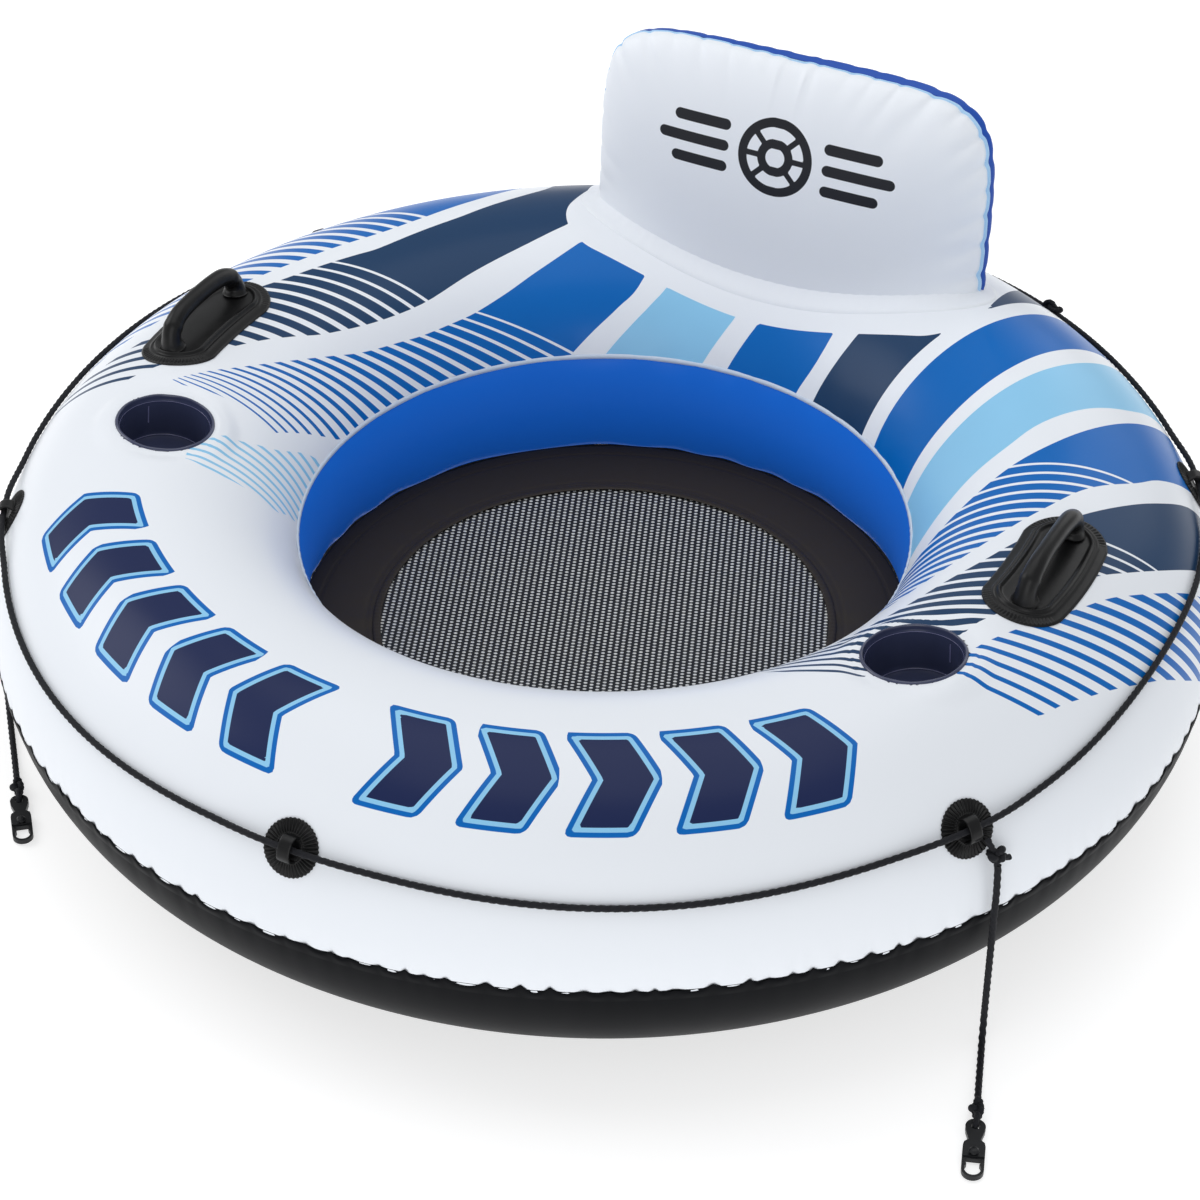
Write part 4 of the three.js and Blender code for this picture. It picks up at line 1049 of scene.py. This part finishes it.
# %% Backrest lip and foot
gather = np.clip(sum(tuck_depth[k] * ridge(seam_far, seam_tucks[k], tuck_width[k]) for k in range(len(seam_tucks))), 0, 1.1)
keep = seam_y > FOOT + 0.002
lip_size = np.hypot(seam_x, seam_y)
lip_inner = (lip_size - 5.5 * MM * gather - 0.8 * MM) / lip_size
lip_reach = 1.2 + 2.4 * step_between(seam_x, 0.12, 0.24)
lip_outer = (lip_size - 3.0 * MM * gather + lip_reach * MM) / lip_size
wander = 0.8 * MM * np.sin(seam_far / 0.0093) + 1.2 * MM
rows = []
for scale, rise in ((lip_inner, 1.3), (lip_outer, 0.5), (lip_outer, -0.3), (lip_inner, -1.1)):
    rows.append(np.stack([seam_x * scale, np.maximum(seam_y * scale, FOOT), wander + rise * MM], -1))
lip_local = np.stack(rows, 1)[keep]
count_rows = len(lip_local)
lip_ring = np.arange(4)[None]
lip = make_mesh("backrest_weld_lip", in_frame(lip_local.reshape(-1, 3), backrest_place),
                grid_faces(count_rows, 4, wrap_columns=True)[:, ::-1], lip_ring, (lip_ring + (count_rows - 1) * 4)[:, ::-1], sharp=50)
lip_vinyl = vinyl("backrest_lip_vinyl", linear(176, 214, 246), 0.28, 0.1)
dress(lip, "white_vinyl", lip_vinyl, "backrest_weld_seam")

foot_share = np.linspace(-1, 1, 240)
foot_share = np.sin(foot_share * np.pi / 2)
half = np.sqrt(np.clip(1 - np.abs(foot_share) ** 3, 0, 1)) * BACKREST_HALF_DEPTH
foot_x = BACKREST_HALF_WIDTH * np.concatenate([foot_share, foot_share[::-1][1:-1]])
foot_y = 0.462 + np.concatenate([-half, half[::-1][1:-1]])
foot_path = np.stack([foot_x, foot_y, np.zeros(len(foot_x))], -1)
foot_path = even_path(np.vstack([foot_path, foot_path[:1]]), 521)[:-1]
ahead = np.roll(foot_path, -1, axis=0) - np.roll(foot_path, 1, axis=0)
outwards = np.stack([ahead[:, 1], -ahead[:, 0]], -1)
outwards /= np.linalg.norm(outwards, axis=1)[:, None]
offsets = np.array([-9.0, -6.5, -4.0, -1.5, 1.0, 4.0, 7.5, 12.0, 17.0, 21.0, 21.8]) * MM
lifts = (1.1 + 18 * np.exp(-(offsets / MM + 9) / 7)) * MM
lifts[-1] = 0
flat = foot_path[:, None, :2] + outwards[:, None] * offsets[None, :, None]
from_axis = np.hypot(flat[..., 0], flat[..., 1])
cosine = np.clip((from_axis - RING_RADIUS) / TUBE_HALF_WIDTH, -0.99, 0.99)
skin_height = TUBE_CENTRE_HEIGHT + TUBE_HALF_HEIGHT * np.sqrt(1 - cosine**2)
foot_points = np.concatenate([flat, (skin_height + lifts[None] * (1 + 0.06 * np.sin(np.arange(520) * 0.9)[:, None]))[..., None]], -1)
foot = make_mesh("backrest_foot_flange", foot_points, grid_faces(520, 11, wrap_rows=True)[:, ::-1])
dress(foot, "white_vinyl", plain_white, "backrest_base_flange")
print("backrest lip and foot made")

# %% [markdown]
# ## Cup holders
#
# Each cup holder is a cup of dark translucent vinyl with a flat flange, welded into a hole near the
# crown of the tube. It is round, so it is a profile turned about its own axis. Its wall carries the
# two upright welds and the round weld of its bottom, thin beads whose paler navy is a painted highlight.

# %% Cup holders

def cup_profile():
    """The cup's wall from the middle of its underside, over the rounded rim and down to the middle
    of its inside, in metres."""
    outline = [(0, -52.5), (30, -52.5), (45, -52.4), (48.2, -51.2), (49.5, -48), (51, -20), (51.6, -7),
               (52, -4.8), (53.4, -4.2), (54.2, -3.2), (54.4, -2.0), (54.1, -1.1), (53.5, -0.4), (52.8, 0.1),
               (52.0, 0.4), (51.3, 0.3), (50.8, -0.3), (50.5, -1.4), (50.2, -3.2), (49.9, -5.6), (49.3, -6.6),
               (49.4, -7.6), (49.2, -9), (48.9, -20), (48.3, -32), (47.5, -44), (46.9, -47.6), (46.1, -49.3),
               (45.2, -50.1), (44.4, -49.4), (43.4, -49.9), (30, -50), (12, -50.2), (0, -50.2)]
    return np.array(outline) * MM


cup_vinyl = Finish("cup_vinyl", Specular_IOR_Level=0.4, Coat_Weight=0.4, Coat_Roughness=0.12, IOR=1.5)
cup_vinyl.set("Base Color", cup_vinyl.tinted(linear(56, 62, 90), 30.0, 0.18))
cup_vinyl.set("Roughness", cup_vinyl.noise(25.0, 3.0) * 0.14 + 0.16)
cup_vinyl.set("Normal", cup_vinyl.bump(cup_vinyl.noise(45.0, 2.0), 0.0008, 0.5))


def cup_wall_welds(angle, radius):
    """Upright welds can't stand in the height of a turned profile, so this only ripples the rim:
    a few tenths of a millimetre, where the flange was pressed."""
    return 0.00025 * np.sin(angle * 9 + 1.0) * (radius > 0.0506)


# The welds' paler navy is a painted highlight: the beads are coloured lighter than the cup where light catches them.
cup_weld_highlight = Finish("cup_weld_vinyl", Specular_IOR_Level=0.5, Coat_Weight=0.3, Coat_Roughness=0.15, IOR=1.5)
cup_weld_highlight.set("Base Color", cup_weld_highlight.tinted(linear(116, 118, 160), 60.0, 0.3))
cup_weld_highlight.set("Roughness", cup_weld_highlight.noise(60.0, 3.0) * 0.2 + 0.2)
cup_weld_highlight.set("Normal", cup_weld_highlight.bump(cup_weld_highlight.noise(400.0, 2.0), 0.0002, 0.5))
WELD_BEARINGS = {"left": (212, 5), "right": (358, 180)}   # degrees round the cup's axis
bead_turn = np.linspace(0, 2 * np.pi, 8, endpoint=False)[None]
circle_turn = np.linspace(0, 2 * np.pi, 160, endpoint=False)

cups = {}
for side, place in CUP_PLACES.items():
    cup = revolved("cup_" + side, cup_profile(), place, 120, cup_wall_welds)
    cups[side] = dress(cup, "navy_vinyl", cup_vinyl.material, "cup_holder_" + side)
    for name, radius, height in (("rim", 49.5, -7.0), ("floor", 45.9, -49.3)):
        loop = np.stack([radius * np.cos(circle_turn), radius * np.sin(circle_turn), np.full(160, height)], -1) * MM
        bead = sweep(f"cup_{name}_weld_{side}", in_frame(loop, place), place[1][2],
                     0.42 * MM * np.cos(bead_turn), 0.42 * MM * np.sin(bead_turn), closed=True)
        dress(bead, "navy_vinyl", cup_weld_highlight.material)
    for number, bearing in enumerate(WELD_BEARINGS[side]):
        turn = np.radians(bearing)
        heights = np.linspace(-33, -12, 24)
        wall = np.interp(heights, [-44, -32, -20, -9], [47.5, 48.3, 48.9, 49.2]) - 0.25
        line = np.stack([wall * np.cos(turn), wall * np.sin(turn), heights], -1) * MM
        weld = sweep(f"cup_weld_highlight_{side}_{number + 1}", in_frame(line, place), place[1][0] * 0.4 + place[1][1] * 0.6,
                     0.9 * MM * np.cos(bead_turn), 0.6 * MM * np.sin(bead_turn))
        dress(weld, "navy_vinyl", cup_weld_highlight.material)
print("cups made:", list(cups))

# %% [markdown]
# ## Handles
#
# A handle is one soft moulding: an oval plate glued to the tube and a thick loop to hold. The plate
# has a thin flange with fine ribs at its ends, a raised lip and a recess inside it. It is a stack of
# ovals, each a share of the full size at its own height. The loop is a round bar carried along an
# arch, wider at its two feet, where it runs into the plate.

# %% Moulded black
def moulded(name, colour, roughness=0.36):
    """Black moulded rubber or plastic: a fine stipple, faint scuffs and a drifting roughness."""
    finish = Finish(name, Specular_IOR_Level=0.26, Coat_Weight=0.06, Coat_Roughness=0.2)
    scuff = (finish.noise(260.0, 4.0, roughness=0.7) * 4 - 2.3).clamped()
    finish.set("Base Color", finish.mix(scuff * 0.25, finish.tinted(colour, 30.0, 0.15), linear(60, 60, 62)))
    finish.set("Roughness", finish.noise(35.0, 3.0) * 0.22 + (roughness - 0.11))
    finish.set("Normal", finish.bump(finish.noise(1800.0, 2.0), 0.00006, 0.6))
    return finish.material


moulded_black = moulded("moulded_black", linear(13, 13, 14))
connector_black = moulded("connector_black", linear(30, 31, 33), 0.38)

# %% Handles
HANDLE_ANGLE, HANDLE_SECTION = 89.7, 86.0
HANDLE_HALF_LENGTH, HANDLE_HALF_WIDTH = 0.097, 0.0462
GRIP_HALF_SPAN = 0.065


def plate_on_tube(name, ring, section, reach, shares, lifts, count=144):
    """A plate wrapped on the tube, as loops of points. reach(direction, share) gives where a loop's
    points are, along and across, and lifts(share, direction) is their height above the skin. The
    stack starts with a loop under the rim and ends in one point in the middle."""
    radius = RING_RADIUS + TUBE_HALF_WIDTH * np.cos(np.radians(section))
    direction = np.linspace(0, 2 * np.pi, count, endpoint=False)[None]
    share = np.asarray(shares)[:, None]
    along, across = reach(direction, share)
    lift = lifts(share, direction)
    along, across = np.concatenate([along[:1], along]), np.concatenate([across[:1], across])
    lift = np.concatenate([np.full((1, count), 0.3 * MM), lift])
    loops = on_tube(ring + np.degrees(along / radius), section + np.degrees(across / TUBE_HALF_WIDTH), lift)
    middle = on_tube(ring, section, float(lifts(np.zeros((1, 1)), np.zeros((1, 1)))[0, 0]))
    points = np.vstack([loops.reshape(-1, 3), middle])
    rows = len(share) + 1
    last = (rows - 1) * count + np.arange(count)
    fan = np.stack([last, np.roll(last, -1), np.full(count, rows * count)], -1)
    return make_mesh(name, points, grid_faces(rows, count, wrap_columns=True)[:, ::-1], fan)


def long_oval(direction, share):
    """A rectangle with round ends. Every loop keeps the same straight middle and its share of the
    ends' radius, until the innermost loops close up towards the middle."""
    c, s = np.cos(direction), np.sin(direction)
    straight = (HANDLE_HALF_LENGTH - HANDLE_HALF_WIDTH) * np.minimum(1, share / 0.2)
    radius = HANDLE_HALF_WIDTH * share
    return straight * np.clip(5 * c, -1, 1) + radius * c, radius * s


def handle_height(share, direction):
    """The plate's height: a flange, a double lip near two thirds of the size, and a recess. Ribs
    of 0.5 mm run across the flange at both ends."""
    flange = 1.2 + 1.2 * step_between(1 - share, 0.0, 0.05) + 0.8 * step_between(1 - share, 0.1, 0.34)
    lip = 3.6 * ridge(share, 0.62, 0.045) + 1.0 * ridge(share, 0.75, 0.03) + 0.6 * step_between(share, 0.62, 0.56)
    at_ends = step_between(np.abs(np.cos(direction)), 0.3, 0.5) * step_between(share, 0.78, 0.84)
    ribs = 0.5 * np.cos(direction * 64) * at_ends * step_between(1 - share, 0.02, 0.06)
    return MM * (flange + lip + ribs)


plate_shares = np.concatenate([[1.0], np.linspace(0.99, 0.78, 14), np.linspace(0.765, 0.5, 22), np.linspace(0.45, 0.05, 9)])
arch_points = [(-65, 0, 4.5), (-65.5, 0, 12), (-63, 0, 21), (-55, 0, 29.5), (-42, 0, 35), (-22, 0, 37.6), (0, 0, 38.2),
               (22, 0, 37.6), (42, 0, 35), (55, 0, 29.5), (63, 0, 21), (65.5, 0, 12), (65, 0, 4.5)]
arch = even_path(smooth_path(np.array(arch_points) * MM, 300), 150)
arch_far = lengths_along(arch)
to_foot = np.minimum(arch_far, arch_far[-1] - arch_far)[:, None]
around = np.linspace(0, 2 * np.pi, 36, endpoint=False)[None]
thick = 10.3 + 4.6 * np.exp(-to_foot / 0.006) + 0.8 * ridge(to_foot, 0.024, 0.004)
flatter = 1 - 0.12 * step_between(to_foot, 0.03, 0.07)
for side, sign in (("left", -1), ("right", 1)):
    base = plate_on_tube("handle_plate_" + side, sign * HANDLE_ANGLE, HANDLE_SECTION, long_oval, plate_shares, handle_height, 384)
    dress(base, "moulded_black", moulded_black, "handle_base_" + side)
    place = tube_frame(sign * HANDLE_ANGLE, HANDLE_SECTION)
    grip = sweep("handle_loop_" + side, in_frame(arch, place), place[1][1],
                 thick * MM * np.cos(around), thick * MM * np.sin(around) * flatter)
    dress(grip, "moulded_black", moulded_black, "handle_grip_" + side)
print("handles made")

# %% [markdown]
# ## Rope patches
#
# Six round patches are glued to the side of the ring. Each is a thin disc with forty fine ribs
# round a smooth dish, and a strap like a belt loop stands over the rope. The disc is made as the
# handle's plate is, with a toothed rim; the strap is a flat bar carried along an arch.

# %% Rope patches
PATCH_COUNT, PATCH_SECTION, PATCH_RADIUS = 6, 31.0, 0.0295


def toothed_disc(direction, share):
    """A circle whose radius swings by 1.5% forty times round."""
    size = PATCH_RADIUS * share * (1 + 0.015 * np.cos(direction * 40))
    return size * np.cos(direction), size * np.sin(direction)


def patch_height(share, direction):
    """Ribs on the outer part, a lip, and a dish inside."""
    ribs = 0.8 * np.cos(direction * 40) * step_between(share, 0.5, 0.56) * step_between(1 - share, 0.0, 0.06)
    return MM * (1.7 + 0.9 * step_between(1 - share, 0.0, 0.3) + ribs + 0.9 * ridge(share, 0.49, 0.05) - 1.0 * step_between(share, 0.46, 0.3))


patch_shares = np.concatenate([[1.0], np.linspace(0.985, 0.56, 14), np.linspace(0.53, 0.3, 12), np.linspace(0.25, 0.08, 4)])
strap_points = [(0, -12.2, 2.2), (0, -12.0, 6), (0, -11.2, 10), (0, -8, 13.4), (0, -4, 14.6), (0, 0, 15), (0, 4, 14.6),
                (0, 8, 13.4), (0, 11.2, 10), (0, 12.0, 6), (0, 12.2, 2.2)]
strap = even_path(smooth_path(np.array(strap_points) * MM, 120), 60)
around = np.linspace(0, 2 * np.pi, 32, endpoint=False)
soft = lambda v: np.sign(v) * np.abs(v) ** 0.4
strap_wide = 6.8 + 2.2 * np.exp(-np.minimum(lengths_along(strap), lengths_along(strap)[-1] - lengths_along(strap)) / 0.004)
for index in range(PATCH_COUNT):
    ring_angle = index * 360 / PATCH_COUNT
    disc = plate_on_tube(f"rope_disc_{index + 1}", ring_angle, PATCH_SECTION, toothed_disc, patch_shares, patch_height, 320)
    dress(disc, "moulded_black", moulded_black, f"rope_patch_{index + 1}")
    place = tube_frame(ring_angle, PATCH_SECTION)
    loop = sweep(f"rope_strap_{index + 1}", in_frame(strap, place), place[1][0],
                 1.75 * MM * soft(np.cos(around)), strap_wide[:, None] * MM * soft(np.sin(around)))
    dress(loop, "moulded_black", moulded_black, f"rope_loop_{index + 1}")
print("rope patches made:", PATCH_COUNT)

# %% [markdown]
# ## Ropes and knots
#
# The grab rope runs once round the ring through the six straps and lies on the skin between them.
# It uses the same laid outline as the tow cords. A knot is a trefoil, the simplest knot there is:
# x = sin t + 2 sin 2t, y = cos t - 2 cos 2t, z = -sin 3t, squeezed to the size that its solid takes
# up. Rope fibre is matt, with a soft sheen and fine hairs across the strands.

# %% Rope finish
rope_fibre = Finish("rope_fibre", Specular_IOR_Level=0.22, Sheen_Weight=0.04, Sheen_Roughness=0.5)
rope_fibre.set("Base Color", rope_fibre.tinted(linear(27, 28, 33), 300.0, 0.4))
rope_fibre.set("Roughness", rope_fibre.noise(500.0, 2.0) * 0.2 + 0.62)
rope_fibre.set("Normal", rope_fibre.bump(rope_fibre.noise(2400.0, 3.0), 0.0003, 0.7))


def rope_section(ring):
    """The section angle that the rope takes between patches: the patches' own, plus a squared
    sine that lets it droop at the front and rise towards the back."""
    span = (ring % 60) / 60
    slack = np.sin(np.pi * span) ** 2
    around = np.abs((ring + 180) % 360 - 180)
    return PATCH_SECTION + slack * np.where(around < 60, -2.5, 6)


ROPE_JOIN = 152.0
ROPE_RADIUS = 0.0034
ROPE_LIFT = 0.0082
turn = np.linspace(ROPE_JOIN + 1.0, ROPE_JOIN + 359.0, 1500)
to_patch = np.abs((turn + 30) % 60 - 30)
rope_lift = ROPE_LIFT - (ROPE_LIFT - ROPE_RADIUS - 0.6 * MM) * step_between(to_patch, 2.2, 9.0)
rope_path = even_path(on_tube(turn, rope_section(turn), rope_lift), 1900)
outward = rope_path / np.linalg.norm(rope_path[:, :2], axis=1)[:, None] * [1, 1, 0] + [0, 0, 0.6]
grab_rope = sweep("grab_rope_strands", rope_path, outward, *rope_outline(rope_path, ROPE_RADIUS * 1.06, 0.027))
dress(grab_rope, "rope_black", rope_fibre.material, "grab_rope")
print("grab rope is", round(float(lengths_along(rope_path)[-1]), 2), "m long")


# %% Knots
def trefoil(name, place, half_sizes, radius, slot_name, node, tails=(), body="root"):
    """A knotted lump: a trefoil curve scaled so that its tube fills half_sizes, with short tails."""
    t = np.linspace(0, 2 * np.pi, 220, endpoint=False)
    curve_points = np.stack([np.sin(t) + 2 * np.sin(2 * t), np.cos(t) - 2 * np.cos(2 * t), -np.sin(3 * t)], -1)
    room = np.array(half_sizes) - radius
    local = curve_points / [3, 3, 1] * np.maximum(room, 0.4 * radius)
    path = in_frame(local, place)
    twist = rope_outline(np.vstack([path, path[:1]]), radius, lengths_along(np.vstack([path, path[:1]]))[-1] / 8, sides=12)
    made = sweep(name, path, place[1][2] + 0.13 * place[1][0], twist[0][:-1], twist[1][:-1], closed=True)
    dress(made, slot_name, rope_fibre.material, node, body=body)
    for number, tail in enumerate(tails):
        line = even_path(smooth_path(in_frame(np.array(tail), place), 40), 24)
        end = sweep(f"{name}_tail_{number + 1}", line, place[1][2] + 0.2 * place[1][1],
                    *rope_outline(line, radius * 0.95, 0.02, sides=12))
        dress(end, slot_name, rope_fibre.material, body=body)
    return made


join_place = tube_frame(ROPE_JOIN, float(rope_section(np.array(ROPE_JOIN))), ROPE_LIFT)
trefoil("grab_rope_tied", join_place, (0.016, 0.009, 0.0068), 0.0034, "rope_black", "grab_rope_knot",
        tails=[[(0.006, -0.003, 0), (0.013, -0.0075, 0.0), (0.019, -0.0085, -0.001)]])

TOW_ANGLE, TOW_SECTION = 61.6, 20.5
tied, leads = {}, {}
for side, sign in (("left", -1), ("right", 1)):
    place = tube_frame(sign * TOW_ANGLE, TOW_SECTION, 12 * MM)
    tied[side] = trefoil("tow_tied_" + side, place, (0.0125, 0.0095, 0.0078), 0.0036, "rope_black", "tow_knot_" + side,
                         tails=[[(-0.002, 0.003, 0), (-0.0045, 0.009, 0.001), (-0.006, 0.015, 0.0005), (-0.0065, 0.0195, -0.001)],
                                [(sign * 0.004, 0.002, 0), (sign * 0.010, -0.006, -0.001), (sign * 0.016, -0.010, -0.002)]])
    lead = in_frame([(0, 0, 0)], place)
    lead = even_path(smooth_path(np.vstack([lead, TOW_ROUTES[side][1], TOW_ROUTES[side][2]]), 40), 24)
    leads[side] = sweep("tow_lead_" + side, lead, np.array([0.85, 0.5, 0.15]), *rope_outline(lead, TOW_CORD_RADIUS * 0.9, 0.027))
    dress(leads[side], "rope_black", rope_fibre.material)
print("knots tied")

# %% [markdown]
# ## Connectors
#
# Each tow cord ends in a plastic connector: an eye that the cord is knotted to, and a hook that
# swivels on the eye's stem. Their solids already have the right shape, with the hole, the D-shaped
# opening and the button, so they stay and get a moulded finish. Now that every piece on the cords
# exists, the cords are dressed.

# %% Connectors and cords
nodes = frame["nodes"]
for side in ("left", "right"):
    knot_low, knot_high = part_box("connector_knot_" + side)
    centre = np.array((knot_low + knot_high) / 2)
    route = np.array(TOW_ROUTES[side])
    heading = (route[-1] - route[-4]) * [1, 1, 0]
    heading = heading / np.linalg.norm(heading)
    place = (centre, np.array([heading, np.cross([0, 0, 1.0], heading), [0, 0, 1.0]]))
    knot = trefoil("connector_tied_" + side, place, (0.0128, 0.009, 0.0082), 0.0036, "rope_black", "connector_knot_" + side)
    line = smooth_path(in_frame([(0.005, 0, 0.001), (0.012, 0.001, 0.0035), (0.0175, 0.0005, 0.003), (0.0215, 0, -0.0015),
                                 (0.022, 0, -0.005)], place), 40)
    hitch = sweep("connector_hitch_" + side, line, place[1][1], *rope_outline(line, 0.0034, 0.02))
    dress(hitch, "rope_black", rope_fibre.material)
    for part in ("eye", "hook"):
        node = nodes[f"connector_{part}_{side}"]
        node.data.materials.clear()
        node.data.materials.append(connector_black)
    piece, route, path, length = tow_cords[side]
    dress(piece, "rope_black", rope_fibre.material, "tow_cord_" + side)
print("cords declared:", [round(float(cord[3]), 3) for cord in tow_cords.values()])

# %% [markdown]
# ## Valves
#
# The ring's wide valve sits behind the backrest and the backrest's small one is on its rear face.
# Both are clear vinyl mouldings. Their solids stay, because their shapes are right, and they get a
# clear finish: glossy, slightly milky, and partly see-through.

# %% Clear vinyl
clear = Finish("clear_vinyl", Specular_IOR_Level=0.6, Coat_Weight=0.5, Coat_Roughness=0.1, IOR=1.5)
clear.set("Base Color", clear.tinted(linear(214, 224, 232), 60.0, 0.06))
clear.set("Roughness", clear.noise(80.0, 2.0) * 0.15 + 0.14)
clear.set("Alpha", clear.noise(50.0, 2.0) * 0.15 + 0.72)
clear.set("Normal", clear.bump(clear.noise(300.0, 2.0), 0.0002, 0.5))
valves = ["main_valve_body", "main_valve_plug", "main_valve_flap", "backrest_valve_body", "backrest_valve_plug"]
for name in valves:
    nodes[name].data.materials.clear()
    nodes[name].data.materials.append(clear.material)
print("valves:", len(valves))

# %% [markdown]
# ## Light and ground
#
# A product picture is lit by very large soft lights, so that shiny vinyl shows broad pale
# highlights instead of small hot spots. Three area lights and a pale sky do that. The ground is a
# plain pale sheet that takes a soft shadow; it isn't part of the object.

# %% Light and ground
GROUND_SIZE = 30.0
edge = GROUND_SIZE / 2
ground = make_mesh("ground", [(-edge, -edge, 0), (edge, -edge, 0), (edge, edge, 0), (-edge, edge, 0)], np.array([[0, 1, 2, 3]]))
paper = Finish("ground_paper", Roughness=0.9, Specular_IOR_Level=0.0, Emission_Color=(1, 1, 1, 1), Emission_Strength=0.66)
paper.set("Base Color", paper.tinted(linear(203, 203, 203), 0.6, 0.004))
ground.data.materials.append(paper.material)

world = bpy.data.worlds.new("studio")
bpy.context.scene.world = world
world.use_nodes = True
world.node_tree.nodes["Background"].inputs["Color"].default_value = (0.97, 0.985, 1.0, 1.0)
world.node_tree.nodes["Background"].inputs["Strength"].default_value = 0.5


def soft_light(name, place, aim, size, watts, colour=(1, 1, 1)):
    """A square area light of the given size that points at aim."""
    light = bpy.data.lights.new(name, "AREA")
    light.shape, light.size, light.energy, light.color = "SQUARE", size, watts, colour
    lamp = bpy.data.objects.new(name, light)
    lamp.location = place
    lamp.rotation_mode = "QUATERNION"
    lamp.rotation_quaternion = (Vector(aim) - Vector(place)).to_track_quat("-Z", "Y")
    bpy.context.scene.collection.objects.link(lamp)


soft_light("overhead", (-0.3, 0.5, 3.4), (0, 0, 0.2), 3.0, 30)
soft_light("left_softbox", (-3.2, -0.6, 2.4), (0, 0, 0.2), 2.2, 34)
soft_light("back_softbox", (0.6, 3.4, 2.2), (0, 0, 0.3), 2.4, 16)
soft_light("front_softbox", (2.0, -5.2, 2.0), (0, 0, 0.25), 3.5, 62)
print("stage set")
